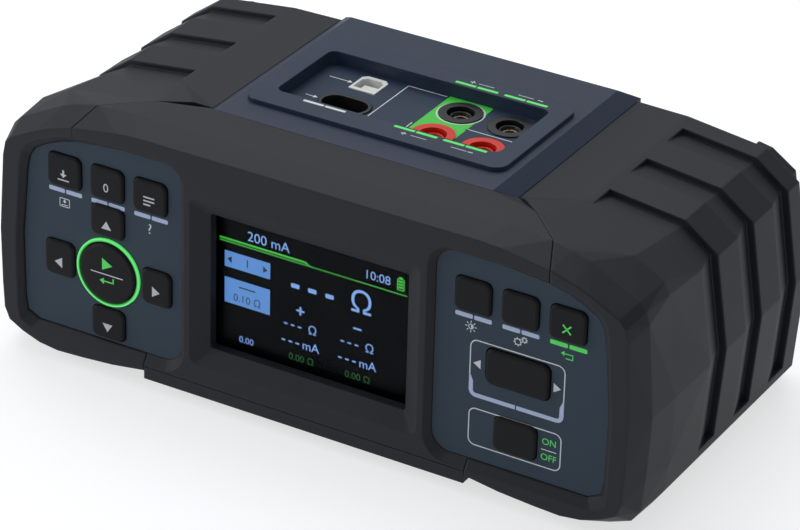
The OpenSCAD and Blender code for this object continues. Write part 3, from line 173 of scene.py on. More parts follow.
class PrintSettings(bpy.types.PropertyGroup):
    """Sizes of the printed marks"""

    thick: length_setting("Thickness", "How far a print stands proud", 0.05 * MM)
    bar_length: length_setting("Bar length", "Length of the bar under a key", 13.5 * MM)
    bar_height: length_setting("Bar height", "Height of the bar under a key", 1.6 * MM)
    line: length_setting("Line", "Width of the thin frames", 0.4 * MM)
    heavy: length_setting("Heavy line", "Width of the heavy frame under the rocker", 1.5 * MM)


class StageSettings(bpy.types.PropertyGroup):
    """Camera, floor and light"""

    place: bpy.props.FloatVectorProperty(
        name="Camera place", description="Where the camera stands", size=3, unit="LENGTH",
        subtype="TRANSLATION", default=(0.59154, -1.04165, 0.69528)
    )
    turn: bpy.props.FloatVectorProperty(
        name="Camera turn", description="How the camera is turned", size=3, subtype="EULER",
        default=(math.radians(61.2101), math.radians(-1.4374), math.radians(30.3997))
    )
    lens: bpy.props.FloatProperty(
        name="Lens", description="Focal length in millimetres", default=178.23, min=20, max=400
    )
    floor: colour_setting("Floor", "Plain pale floor", (0.45, 0.455, 0.465))
    lift: bpy.props.FloatProperty(
        name="Floor lift", description="How much brighter the floor is seen than it lights",
        default=0.66, min=0, max=1
    )
    key_power: bpy.props.FloatProperty(
        name="Soft light", description="Power of the overhead soft light",
        default=17, min=0, unit="POWER"
    )
    side_power: bpy.props.FloatProperty(
        name="Side light", description="Power of the soft light at the left",
        default=10, min=0, unit="POWER"
    )
    sky: bpy.props.FloatProperty(
        name="Room", description="Strength of the light of the room", default=0.45, min=0, max=3
    )


# ---------------------------------------------------------------- shader sums

class Term:
    """A value or colour inside a finish, which can stand in a sum with others and with numbers"""

    def __init__(self, finish, socket):
        self.finish = finish
        self.socket = socket

    def _sum(self, operation, first, second):
        return self.finish.term("ShaderNodeMath", {"operation": operation}, {0: first, 1: second})

    def __add__(self, other):
        return self._sum("ADD", self, other)

    __radd__ = __add__

    def __sub__(self, other):
        return self._sum("SUBTRACT", self, other)

    def __rsub__(self, other):
        return self._sum("SUBTRACT", other, self)

    def __mul__(self, other):
        return self._sum("MULTIPLY", self, other)

    __rmul__ = __mul__

    def over(self, level):
        """1 where the value is above a level, else 0"""
        return self._sum("GREATER_THAN", self, level)

    def held(self):
        """The value kept between 0 and 1"""
        return self.finish.term("ShaderNodeClamp", None, {"Value": self})


class Finish:
    """A procedural material in the making, or the world's light where one is given"""

    def __init__(self, name, world=None):
        self.material = world or bpy.data.materials.new(name)
        self.material.use_nodes = True
        self.tree = self.material.node_tree
        self.tree.nodes.clear()

    def node(self, kind, settings=None, values=None):
        made = self.tree.nodes.new(kind)
        for key, value in (settings or {}).items():
            setattr(made, key, value)
        for key, value in (values or {}).items():
            if isinstance(value, Term):
                self.tree.links.new(value.socket, made.inputs[key])
            else:
                made.inputs[key].default_value = value
        return made

    def term(self, kind, settings=None, values=None, output=0):
        return Term(self, self.node(kind, settings, values).outputs[output])

    def blend(self, factor, first, second):
        """One colour turning into another"""
        return self.term("ShaderNodeMix", {"data_type": "RGBA"}, {0: factor, 6: first, 7: second}, 2)

    def place(self, stretch=(1, 1, 1)):
        """Place on the object, in millimetres"""
        spot = self.term("ShaderNodeTexCoord", None, None, "Object")
        return self.term(
            "ShaderNodeVectorMath", {"operation": "MULTIPLY"},
            {0: spot, 1: tuple(1000 * value for value in stretch)}
        )

    def noise(self, size, detail=2.0, stretch=(1, 1, 1)):
        return self.term(
            "ShaderNodeTexNoise", None,
            {"Vector": self.place(stretch), "Scale": 1 / size, "Detail": detail, "Roughness": 0.55}
        )

    def cells(self, size):
        return self.term(
            "ShaderNodeTexVoronoi", {"feature": "F1"}, {"Vector": self.place(), "Scale": 1 / size}
        )

    def rounded(self, radius):
        """Surface direction with the edges rounded off"""
        return self.term("ShaderNodeBevel", {"samples": 6}, {"Radius": radius})

    def edge(self, rounded):
        """Near 1 on the edges and 0 on the flats"""
        flat = self.term("ShaderNodeNewGeometry", None, None, "Normal")
        same = self.term(
            "ShaderNodeVectorMath", {"operation": "DOT_PRODUCT"}, {0: rounded, 1: flat}, "Value"
        )
        return ((1 - same) * 6).held()

    def relief(self, height, depth, normal=None):
        values = {"Height": height, "Distance": depth, "Strength": 1.0}
        if normal is not None:
            values["Normal"] = normal
        return self.term("ShaderNodeBump", None, values)

    def close(self, **values):
        """Puts the values on one shader and joins it to the output"""
        shader = self.node("ShaderNodeBsdfPrincipled", None, {
            key.replace("_", " "): value for key, value in values.items()
        })
        output = self.node("ShaderNodeOutputMaterial")
        self.tree.links.new(shader.outputs[0], output.inputs["Surface"])
        return self.material


# ---------------------------------------------------------------- finishes

def moulded(name, colour, roughness, grain, depth, radius, gloss=0.25, shine=0.12, edge_highlight=0.3):
    """Moulded plastic or rubber: fine grain, faint flow clouds, and edges rounded, with a painted highlight that
    lightens the edges
    """
    f = Finish(name)
    fine = f.noise(grain, 3.0)
    cloud = f.noise(grain * 70, 2.0)
    round_edge = f.rounded(radius)
    edge = f.edge(round_edge)
    base = f.blend((cloud - 0.3) * 1.6, four(scaled(colour, 0.9)), four(scaled(colour, 1.1)))
    # painted highlight: the rounded edges are lightened as if light caught them; the last argument sets how strongly
    base = f.blend(edge * edge_highlight, base, four(scaled(colour, 1.8 + 2 * (edge_highlight - 0.3))))
    base = f.blend((fine - 0.35).held() * 0.4, base, four(scaled(colour, 0.72)))
    return f.close(
        Base_Color=base,
        Roughness=roughness + (cloud - 0.5) * 0.1 - edge * shine + (fine - 0.5) * 0.08,
        Specular_IOR_Level=gloss,
        Normal=f.relief(fine, depth, round_edge),
    )


def film(name, colour, roughness):
    """Satin film of a key panel: very fine even tooth and a faint sheen"""
    f = Finish(name)
    tooth = f.noise(0.16, 2.0)
    cloud = f.noise(16, 2.0)
    round_edge = f.rounded(0.12 * MM)
    base = f.blend((cloud - 0.3) * 1.6, four(scaled(colour, 0.94)), four(scaled(colour, 1.06)))
    base = f.blend((tooth - 0.4).held() * 0.5, base, four(scaled(colour, 1.15)))
    return f.close(
        Base_Color=base,
        Roughness=roughness + (tooth - 0.5) * 0.1 + (cloud - 0.5) * 0.06,
        Specular_IOR_Level=0.22,
        Normal=f.relief(tooth, 0.006 * MM, round_edge),
    )


def ink(name, colour, glow=0.0):
    """Screen print: slightly uneven ink with a soft sheen, and a painted glow where a glow strength is given"""
    f = Finish(name)
    mesh = f.noise(0.22, 2.0)
    uneven = f.blend(mesh, four(scaled(colour, 0.9)), four(colour))
    return f.close(
        Base_Color=uneven, Roughness=0.45 + (mesh - 0.5) * 0.16, Emission_Color=uneven,
        Emission_Strength=glow, Normal=f.relief(mesh, 0.003 * MM)
    )


def lit(name, colour, glow):
    """Lit part of the screen: rows and columns of picture dots"""
    f = Finish(name)
    rows = f.term(
        "ShaderNodeTexWave", {"wave_type": "BANDS", "bands_direction": "Z"},
        {"Vector": f.place(), "Scale": 1.0, "Distortion": 0.0}
    )
    columns = f.term(
        "ShaderNodeTexWave", {"wave_type": "BANDS", "bands_direction": "X"},
        {"Vector": f.place(), "Scale": 1.0, "Distortion": 0.0}
    )
    dots = f.blend(rows * 0.18 + columns * 0.12, four(colour), four(scaled(colour, 0.7)))
    return f.close(
        Base_Color=(0.01, 0.01, 0.012, 1), Roughness=0.4, Emission_Color=dots, Emission_Strength=glow
    )


def metal(name, colour, roughness, stretch=(1, 1, 1), grain=0.3):
    """Metal with fine drawn or rolled scratches, duller where dust lies"""
    f = Finish(name)
    scratch = f.noise(grain, 4.0, stretch)
    dull = f.noise(7, 2.0)
    round_edge = f.rounded(0.15 * MM)
    return f.close(
        Base_Color=f.blend(dull, four(scaled(colour, 0.86)), four(colour)),
        Metallic=1.0,
        Roughness=roughness + (scratch - 0.5) * 0.22 + (dull - 0.5) * 0.1,
        Normal=f.relief(scratch, 0.008 * MM, round_edge),
    )


def board(name, colour):
    """Circuit board: varnish over copper tracks, with tinned pads"""
    f = Finish(name)
    track = f.term(
        "ShaderNodeTexBrick", {"offset": 0.5, "squash": 1.0},
        {"Vector": f.place(), "Scale": 0.22, "Mortar Size": 0.02, "Mortar Smooth": 0.2,
         "Color1": (0, 0, 0, 1), "Color2": (0, 0, 0, 1), "Mortar": (1, 1, 1, 1)}
    )
    pad = 1 - f.cells(2.6).over(0.16)
    cloud = f.noise(9, 2.0)
    base = f.blend(track, four(scaled(colour, 0.75)), four(scaled(colour, 1.5)))
    base = f.blend(pad, base, four((0.62, 0.6, 0.56)))
    return f.close(
        Base_Color=base, Metallic=pad * 0.9, Roughness=0.32 + (cloud - 0.5) * 0.2,
        Normal=f.relief(track + pad * 0.6, 0.03 * MM, f.rounded(0.1 * MM)),
    )


def jacket(name, colour):
    """Shrunk film round a cell: glossy, with fine wrinkles"""
    f = Finish(name)
    wrinkle = f.noise(1.6, 3.0, (1, 0.25, 1))
    cloud = f.noise(12, 2.0)
    return f.close(
        Base_Color=f.blend(cloud, four(scaled(colour, 0.85)), four(scaled(colour, 1.1))),
        Roughness=0.3 + (wrinkle - 0.5) * 0.15, Coat_Weight=0.3,
        Normal=f.relief(wrinkle, 0.05 * MM, f.rounded(0.3 * MM)),
    )


def glass(name):
    """Clear window, bloomed against reflections, with faint wiping marks"""
    f = Finish(name)
    smear = f.noise(20, 4.0, (1, 1, 0.3))
    return f.close(
        Base_Color=(0.95, 0.97, 1.0, 1), Roughness=smear * 0.012,
        Transmission_Weight=1.0, IOR=1.09,
    )


def light_guide(name, colour):
    """Milky green light guide, lit from behind and brightest along its middle"""
    f = Finish(name)
    haze = f.noise(0.8, 3.0)
    middle = middle_of("start_light_ring")
    low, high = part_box("start_light_ring")
    core = (high[0] - low[0]) / MM / 2 - 0.85
    away = f.term(
        "ShaderNodeVectorMath", {"operation": "SUBTRACT"},
        {0: f.place((1, 0, 1)), 1: (middle.x, 0, middle.z)}
    )
    radius = f.term("ShaderNodeVectorMath", {"operation": "LENGTH"}, {0: away}, 1)
    off = f.term("ShaderNodeMath", {"operation": "ABSOLUTE"}, {0: radius - core})
    glow = (1.25 - off * 1.35).held()
    milk = f.blend(haze, four(scaled(colour, 0.82)), four(colour))
    shade = f.blend(glow, four(scaled(colour, 0.09)), milk)
    return f.close(
        Base_Color=shade, Roughness=0.28 + haze * 0.1, Emission_Color=shade, Emission_Strength=0.75,
        Normal=f.relief(haze, 0.01 * MM, f.rounded(0.25 * MM)),
    )


def make_slot_finishes(finishes, screen):
    """One material for each slot of the record, named as the slot"""
    # the cover's last number, 1.0, gives it the strongest painted edge highlight
    moulded("cover_plastic", finishes.cover, 0.5, 0.34, 0.03 * MM, 0.7 * MM, 0.3, 0.14, 1.0)
    moulded("bumper_rubber", finishes.bumper, 0.56, 0.42, 0.045 * MM, 1.1 * MM, 0.25, 0.16)
    moulded("seal_rubber", linear(20, 20, 21), 0.65, 0.3, 0.02 * MM, 0.2 * MM, 0.4)
    moulded("inner_plastic", linear(40, 40, 43), 0.52, 0.3, 0.02 * MM, 0.3 * MM)
    film("slate_panel", finishes.panel, 0.47)
    board("circuit_board", finishes.board)
    moulded("key_rubber", finishes.key, 0.55, 0.26, 0.02 * MM, 0.9 * MM, 0.14, 0.14)
    light_guide("light_ring", finishes.light)
    metal("spring_steel", (0.58, 0.58, 0.6), 0.32, (1, 1, 0.1))
    glass("window")
    moulded("display", screen.ground, 0.6, 0.3, 0.004 * MM, 0.2 * MM, 0.02)
    moulded("black_plastic", finishes.black, 0.36, 0.3, 0.012 * MM, 0.3 * MM, 0.5)
    moulded("red_plastic", finishes.red, 0.34, 0.3, 0.012 * MM, 0.3 * MM, 0.5, 0.06)
    metal("plated_brass", (0.78, 0.69, 0.47), 0.26)
    moulded("white_plastic", finishes.white, 0.38, 0.3, 0.01 * MM, 0.25 * MM, 0.5, 0.05)
    metal("core_steel", (0.36, 0.36, 0.38), 0.5, (1, 6, 1))
    metal("shunt_alloy", (0.72, 0.55, 0.42), 0.36, (1, 0.1, 1))
    metal("sink_aluminium", (0.74, 0.75, 0.77), 0.38, (1, 0.1, 1))
    jacket("cell_jacket", finishes.jacket)
    metal("screw_steel", (0.45, 0.45, 0.47), 0.34)


def finish_named(name):
    """A finish that an earlier step has made"""
    if name not in bpy.data.materials:
        raise RuntimeError(f"the finish {name} is made by the finishes step, which comes first")
    return bpy.data.materials[name]


def dress(names, finish=None):
    """Gives the carried-over nodes their finish"""
    for name in names:
        thing = frame["nodes"][name]
        material = finish_named(finish or SLOT_OF[name])
        if not thing.material_slots:
            thing.data.materials.append(material)
        for slot in thing.material_slots:
            slot.material = material


# ---------------------------------------------------------------- flat marks

def outline_round(left, low, right, high, radius, steps=6):
    """Corner points of a rectangle with round corners, counter-clockwise"""
    points = []
    for x, y, start in ((right, high, 0), (left, high, 90), (left, low, 180), (right, low, 270)):
        cx = x - radius if x == right else x + radius
        cy = y - radius if y == high else y + radius
        for i in range(steps + 1):
            turn = math.radians(start + 90 * i / steps)
            points.append((cx + radius * math.cos(turn), cy + radius * math.sin(turn)))
    return points


def arc(x, y, radius, start, end, steps=24):
    return [
        (x + radius * math.cos(math.radians(start + (end - start) * i / steps)),
         y + radius * math.sin(math.radians(start + (end - start) * i / steps)))
        for i in range(steps + 1)
    ]


class Marks:
    """Thin marks gathered into one mesh on one flat face. Sizes are in millimetres on that face."""

    def __init__(self, level, facing, thick):
        self.mesh = bmesh.new()
        self.level = level
        self.facing = facing
        self.low, self.high = -SUNK, thick / MM

    def spot(self, u, v, out):
        if self.facing == "FRONT":
            return Vector((u, self.level / MM - out, v)) * MM
        return Vector((u, v, self.level / MM + out)) * MM

    def shape(self, outline):
        """A closed outline, counter-clockwise"""
        low = [self.mesh.verts.new(self.spot(u, v, self.low)) for u, v in outline]
        high = [self.mesh.verts.new(self.spot(u, v, self.high)) for u, v in outline]
        self.mesh.faces.new(high)
        self.mesh.faces.new(low[::-1])
        for i, corner in enumerate(high):
            self.mesh.faces.new((low[i], low[(i + 1) % len(low)], high[(i + 1) % len(high)], corner))

    def band(self, inner, outer, closed=True):
        """The strip between two lines with as many points each, the outer one counter-clockwise"""
        rings = []
        for line in (inner, outer):
            for out in (self.low, self.high):
                rings.append([self.mesh.verts.new(self.spot(u, v, out)) for u, v in line])
        in_low, in_high, out_low, out_high = rings
        count = len(inner)
        for i in range(count if closed else count - 1):
            j = (i + 1) % count
            self.mesh.faces.new((in_high[i], out_high[i], out_high[j], in_high[j]))
            self.mesh.faces.new((in_low[j], out_low[j], out_low[i], in_low[i]))
            self.mesh.faces.new((out_high[i], out_low[i], out_low[j], out_high[j]))
            self.mesh.faces.new((in_high[j], in_low[j], in_low[i], in_high[i]))
        if not closed:
            self.mesh.faces.new((in_high[0], in_low[0], out_low[0], out_high[0]))
            self.mesh.faces.new((out_high[-1], out_low[-1], in_low[-1], in_high[-1]))

    def bar(self, u, v, width, height, radius=0.0):
        """A bar round a middle"""
        box = (u - width / 2, v - height / 2, u + width / 2, v + height / 2)
        if radius:
            self.shape(outline_round(*box, radius, 4))
        else:
            self.shape([(box[0], box[1]), (box[2], box[1]), (box[2], box[3]), (box[0], box[3])])

    def line(self, start, end, width):
        along = Vector((end[0] - start[0], end[1] - start[1])).normalized()
        side = Vector((-along.y, along.x)) * width / 2
        a, b = Vector(start), Vector(end)
        self.shape([tuple(a - side), tuple(b - side), tuple(b + side), tuple(a + side)])

    def frame(self, left, low, right, high, radius, width):
        self.band(
            outline_round(left + width, low + width, right - width, high - width, max(radius - width, 0.05)),
            outline_round(left, low, right, high, radius),
        )

    def ring(self, u, v, outer, inner, start=0, end=360):
        whole = end - start == 360
        lines = [arc(u, v, radius, start, end, 48) for radius in (inner, outer)]
        if whole:
            lines = [line[:-1] for line in lines]
        self.band(*lines, closed=whole)

    def split_bar(self, left, v, width, height, gap=0.5):
        """A bar parted in its middle"""
        half = (width - gap) / 2
        self.bar(left + half / 2, v, half, height, height * 0.3)
        self.bar(left + width - half / 2, v, half, height, height * 0.3)

    def sign(self, text, u, v, size):
        """Digits or signs round a middle"""
        curve = bpy.data.curves.new("sign", "FONT")
        curve.body = text
        curve.align_x, curve.align_y = "CENTER", "CENTER"
        curve.size = size
        curve.resolution_u = 4
        curve.extrude = (self.high - self.low) / 2
        letters = bpy.data.objects.new("sign", curve)
        bpy.context.scene.collection.objects.link(letters)
        shown = letters.evaluated_get(bpy.context.evaluated_depsgraph_get()).to_mesh()
        middle = (self.high + self.low) / 2
        corners = [
            self.mesh.verts.new(self.spot(u + c.co.x, v + c.co.y, middle + c.co.z)) for c in shown.vertices
        ]
        for face in shown.polygons:
            try:
                self.mesh.faces.new([corners[i] for i in face.vertices])
            except ValueError:
                pass
        bpy.data.objects.remove(letters)
        bpy.data.curves.remove(curve)

    def make(self, name, finish, slot, body=HOUSING):
        """The marks as one piece that rides on a body"""
        bmesh.ops.recalc_face_normals(self.mesh, faces=self.mesh.faces)
        data = bpy.data.meshes.new(name)
        self.mesh.to_mesh(data)
        self.mesh.free()
        data.materials.append(finish_named(finish))
        thing = bpy.data.objects.new(name, data)
        bpy.context.scene.collection.objects.link(thing)
        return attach(thing, body)


def middle_of(name):
    low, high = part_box(name)
    return (low + high) / 2 / MM


def front_of(name):
    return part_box(name)[0].y


def key_marks(name):
    """Marks on the front of a key"""
    return Marks(front_of(name), "FRONT", 0.05 * MM)


# ---------------------------------------------------------------- steps

class Step(bpy.types.Operator):
    """A step that dresses one part of the meter"""

    bl_options = {"REGISTER", "UNDO"}

    def execute(self, context):
        self.make(context.scene)
        return {"FINISHED"}


class OHMMETER_OT_finishes(Step):
    """Makes every finish of the meter"""

    bl_idname = "ohmmeter.finishes"
    bl_label = "Finishes"

    def make(self, scene):
        finishes, screen = scene.ohmmeter_finish, scene.ohmmeter_screen
        for plain in list(bpy.data.materials):
            bpy.data.materials.remove(plain)
        make_slot_finishes(finishes, screen)
        moulded("bezel_plastic", finishes.bezel, 0.55, 0.34, 0.03 * MM, 0.6 * MM, 0.2)
        film("field_film", finishes.field, 0.42)
        moulded("plate_plastic", finishes.field, 0.42, 0.3, 0.012 * MM, 0.5 * MM)
        ink("bar_ink", finishes.bar)
        ink("mark_ink", finishes.mark)
        ink("white_ink", linear(226, 229, 232))
        # painted glow: the green prints here get a faint glow that no lamp behind them gives
        ink("green_ink", finishes.green, 0.12)
        ink("patch_ink", linear(66, 200, 62), 0.05)
        lit("screen_button", screen.button, screen.glow)
        lit("screen_reading", screen.reading, screen.glow)
        lit("screen_line", screen.line, screen.glow)
        lit("screen_dim", screen.dim, screen.glow)
        ink("screen_dark", linear(12, 20, 44))


class OHMMETER_OT_housing(Step):
    """Covers, bezel, back and seals"""

    bl_idname = "ohmmeter.housing"
    bl_label = "Housing"

    def make(self, scene):
        dress(["top_cover", "rear_panel", "case_seal", "battery_door"])
        dress(["front_bezel", "lower_shell"], "bezel_plastic")


class OHMMETER_OT_bumpers(Step):
    """Rubber bumpers at the sides"""

    bl_idname = "ohmmeter.bumpers"
    bl_label = "Bumpers"

    def make(self, scene):
        dress(["left_bumper", "right_bumper"])


class OHMMETER_OT_key_panels(Step):
    """Panels round the keys with their printed bars, frames and signs"""

    bl_idname = "ohmmeter.key_panels"
    bl_label = "Key Panels"

    def make(self, scene):
        prints = scene.ohmmeter_print
        dress(["left_key_panel", "right_key_panel", "left_key_mat", "right_key_mat",
               "left_key_board", "right_key_board", "front_frame"])
        level = front_of("left_key_panel")
        length, height, thin = prints.bar_length / MM, prints.bar_height / MM, prints.line / MM

        bars = Marks(level, "FRONT", prints.thick)
        for left in KEY_BAR_LEFTS:
            bars.split_bar(left, KEY_BAR_Z, length, height)
        self.rocker_frame(bars, prints.heavy / MM)
        bars.make("key_bars", "bar_ink", "slate_panel")

        signs = Marks(level, "FRONT", prints.thick)
        self.card(signs, -96.6, 61.7)
        signs.sign("?", -61.9, 61.4, 5.4)
        self.sun(signs, 62.4, UNDER_BAR_Z)
        self.gears(signs, 80.6, UNDER_BAR_Z)
        for x, way in ROCKER_ARROWS:
            back, z = x - 1.2 * way, ROCKER_ARROW_Z
            signs.shape([(x + 1.5 * way, z), (back, z + 1.7 * way), (back, z - 1.7 * way)])
        left, low, right, high = ROCKER_BOX
        inner = outline_round(left + thin, low + thin, right - thin, high - thin, 2.4)
        outer = outline_round(left, low, right, high, 2.8)
        cut = len(outer) // 2
        self.open_frame(signs, inner[:cut], outer[:cut], ROCKER_BEND[1])
        signs.frame(*POWER_BOX, 2.6, thin)
        signs.line(*POWER_RULE, 0.3)
        signs.make("panel_signs", "mark_ink", "slate_panel")

        green = Marks(level, "FRONT", prints.thick)
        green.split_bar(ESCAPE_BAR_LEFT, KEY_BAR_Z, length, height)
        self.return_arrow(green, 97.8, 62.3)
        green.sign("ON", POWER_WORD_X, 28.3, POWER_WORD_SIZE)
        green.sign("OFF", POWER_WORD_X, 22.5, POWER_WORD_SIZE)
        green.make("panel_green_signs", "green_ink", "slate_panel")

    def open_frame(self, marks, inner, outer, low):
        """The thin upper half of the frame round the rocker, down to a height"""
        left, right = outer[-1][0], outer[0][0]
        marks.band(
            [(inner[0][0], low)] + inner + [(inner[-1][0], low)],
            [(right, low)] + outer + [(left, low)], closed=False
        )

    def rocker_frame(self, marks, heavy):
        """The heavy lower part of the frame round the rocker, parted in its middle"""
        left, low, right, _ = ROCKER_BOX
        step, top = ROCKER_BEND
        middle, corner, half_gap = (left + right) / 2, 2.6, 0.25
        turns = [math.radians(angle) for angle in (22.5, 45, 67.5, 90)]
        for way, side in ((1, right), (-1, left)):
            def at(x, y):
                return (side - way * x, y)

            def bend(inset):
                reach = corner - inset
                return [
                    at(inset + reach * (1 - math.cos(turn)), low + corner - reach * math.sin(turn))
                    for turn in turns
                ]
            outer = [at(0, top), at(0, low + corner), *bend(0), (middle + way * half_gap, low)]
            inner = [at(0.4, top), at(heavy, step), *bend(heavy), (middle + way * half_gap, low + heavy)]
            marks.band(inner, outer, closed=False)

    def card(self, marks, x, y):
        """Small card with an arrow into it"""
        marks.frame(x - 2.1, y - 1.8, x + 2.1, y + 1.6, 0.5, 0.28)
        marks.bar(x, y - 1.0, 2.6, 0.28)
        marks.shape([(x, y - 0.4), (x + 0.8, y + 0.5), (x + 0.25, y + 0.5), (x + 0.25, y + 1.1),
                     (x - 0.25, y + 1.1), (x - 0.25, y + 0.5), (x - 0.8, y + 0.5)])

    def sun(self, marks, x, y):
        """Half-filled disc with rays"""
        marks.ring(x, y, 1.0, 0.72)
        marks.shape(arc(x, y, 0.78, -90, 90, 12))
        for i in range(8):
            a = math.radians(45 * i)
            marks.line((x + 1.35 * math.cos(a), y + 1.35 * math.sin(a)),
                       (x + 2.15 * math.cos(a), y + 2.15 * math.sin(a)), 0.28)

    def gears(self, marks, x, y):
        """Two small toothed wheels"""
        for cx, cy, r in ((x - 0.9, y - 0.3, 1.25), (x + 1.5, y + 1.0, 0.85)):
            marks.ring(cx, cy, r, r - 0.32)
            for i in range(8):
                a = math.radians(45 * i + 10)
                marks.line((cx + (r - 0.05) * math.cos(a), cy + (r - 0.05) * math.sin(a)),
                           (cx + (r + 0.35) * math.cos(a), cy + (r + 0.35) * math.sin(a)), 0.36)

    def return_arrow(self, marks, x, y):
        """Arrow that turns back"""
        marks.line((x - 1.3, y + 0.8), (x + 2.1, y + 0.8), 0.32)
        marks.line((x + 1.95, y + 0.8), (x + 1.95, y - 0.9), 0.32)
        marks.line((x + 2.1, y - 0.9), (x - 0.6, y - 0.9), 0.32)
        marks.shape([(x - 2.4, y + 0.8), (x - 1.1, y - 0.1), (x - 1.1, y + 1.7)])


class OHMMETER_OT_keys(Step):
    """Keys, rocker and light ring with their signs"""

    bl_idname = "ohmmeter.keys"
    bl_label = "Keys"

    def make(self, scene):
        keys = [name for name, slot in SLOT_OF.items() if slot == "key_rubber"]
        dress(keys + ["start_light_ring", "rocker_bracket"])
        arrows = {"up_key": (0, 1), "down_key": (0, -1), "left_key": (-1, 0), "right_key": (1, 0)}
        for name, way in arrows.items():
            self.sign_on(name, functools.partial(self.arrow, way=Vector(way)), "white_ink")
        self.sign_on("save_key", self.tray_arrow, "white_ink")
        self.sign_on("zero_key", lambda marks, x, z: marks.sign("0", x, z, 4.6), "white_ink")
        self.sign_on("help_key", self.lines, "white_ink")
        self.sign_on("escape_key", self.cross, "green_ink")
        self.start_signs(middle_of("start_key"))

    def start_signs(self, spot):
        """A triangle over a turned-back arrow, with a line between"""
        def at(x, z):
            return (spot.x + x, spot.z + z)
        marks = key_marks("start_key")
        marks.shape([at(-1.9, 1.1), at(2.3, 3.4), at(-1.9, 5.7)])
        marks.line(at(-1.6, -3.1), at(2.8, -3.1), 0.5)
        marks.line(at(2.6, -3.3), at(2.6, -1.3), 0.5)
        marks.shape([at(-3.0, -3.1), at(-1.2, -4.3), at(-1.2, -1.9)])
        marks.make("start_key_sign", "green_ink", "key_rubber", "start_key")
        rule = key_marks("start_key")
        rule.line(at(-6.6, -0.4), at(6.6, -0.4), 0.35)
        rule.make("start_key_line", "mark_ink", "key_rubber", "start_key")

    def sign_on(self, name, draw, finish):
        """Draws a sign a little below the middle of a key"""
        spot = middle_of(name)
        marks = key_marks(name)
        draw(marks, spot.x, spot.z - SIGN_DROP)
        marks.make(name + "_sign", finish, "key_rubber", name)

    def arrow(self, marks, x, z, way):
        """Triangle that points one way"""
        spot, side = Vector((x, z)), Vector((-way.y, way.x)) * 2.0
        back = spot - way * 1.35
        marks.shape([tuple(spot + way * 1.75), tuple(back + side), tuple(back - side)])

    def tray_arrow(self, marks, x, z):
        """Arrow down on to a line"""
        marks.shape([(x, z - 0.9), (x + 1.4, z + 0.5), (x + 0.4, z + 0.5), (x + 0.4, z + 2.0),
                     (x - 0.4, z + 2.0), (x - 0.4, z + 0.5), (x - 1.4, z + 0.5)])
        marks.line((x - 2.3, z - 1.8), (x + 2.3, z - 1.8), 0.5)

    def lines(self, marks, x, z):
        """Two long lines over a short one"""
        for row, width in ((1.4, 4.4), (0, 4.4), (-1.4, 2.8)):
            marks.bar(x - (4.4 - width) / 2, z + row, width, 0.55)

    def cross(self, marks, x, z):
        """Two crossed strokes"""
        for way in (1, -1):
            marks.line((x - 1.5, z - 1.5 * way), (x + 1.5, z + 1.5 * way), 0.55)


class OHMMETER_OT_display(Step):
    """Window, display and the picture on it"""

    bl_idname = "ohmmeter.display"
    bl_label = "Display"

    def make(self, scene):
        dress(["display_window", "display_gasket", "display_module"])
        level = front_of("display_module")

        def layer():
            return Marks(level, "FRONT", SCREEN_PRINT * MM)

        button = layer()
        button.bar(BUTTON_X, 55.3, BUTTON_W, 6.1)
        button.bar(BUTTON_X, 43.4, BUTTON_W, 9.7)
        button.make("screen_buttons", "screen_button", "display")

        dark = Marks(level - SCREEN_PRINT * MM, "FRONT", 0.02 * MM)
        dark.shape([(-35.2, 55.3), (-33.4, 54.0), (-33.4, 56.6)])
        dark.shape([(-19.2, 55.3), (-21.0, 56.6), (-21.0, 54.0)])
        dark.sign("1", BUTTON_X, 55.3, 4.4)
        dark.sign("0.10 Ω", BUTTON_X, 41.2, 4.0)
        dark.bar(BUTTON_X, 45.6, 6.5, 0.5)
        dark.make("screen_button_signs", "screen_dark", "display")

        line = layer()
        line.shape([(-38.2, 62.5), (-4.6, 62.5), (-3.4, 61.9), (-2.9, 61.9), (-4.2, 63.2), (-38.2, 63.2)])
        line.bar(-1.8, 61.85, 72.8, 0.32)
        line.frame(30.7, 63.2, 33.5, 67.7, 0.5, 0.35)
        line.bar(32.1, 68.0, 1.2, 0.6)
        for i in range(3):
            line.bar(32.1, 64.4 + i * 1.1, 1.7, 0.75)
        line.make("screen_line_and_cell", "screen_line", "display")

        reading = layer()
        reading.sign("200 mA", -19.0, 66.0, 5.2)
        reading.sign("10:08", 23.2, 65.4, 4.6)
        for x in (-8.35, -1.7, 5.05):
            reading.bar(x, 52.75, 3.2, 1.6)
        reading.sign("Ω", 17.3, 53.7, 11.8)
        for x, sign in ((-6.2, "+"), (16.0, "-")):
            if sign == "+":
                reading.bar(x, 43.8, 0.7, 3.2)
            reading.bar(x, 43.8, 3.2, 0.7)
        for column in READING_COLUMNS:
            for unit, row, dash_x, unit_x in READING_ROWS:
                for i in range(3):
                    reading.bar(dash_x + i * 2.75 + column, row, 1.4, 0.6)
                reading.sign(unit, unit_x + column, row, 4.7)
        reading.make("screen_readings", "screen_reading", "display")

        dim = layer()
        for x in (-5.6, 16.4):
            dim.sign("0.00 Ω", x, 25.3, 3.6)
        dim.make("screen_limits", "screen_dim", "display")
        corner = layer()
        corner.sign("0.00", -27.4, 25.6, 3.4)
        corner.make("screen_corner_reading", "screen_reading", "display")


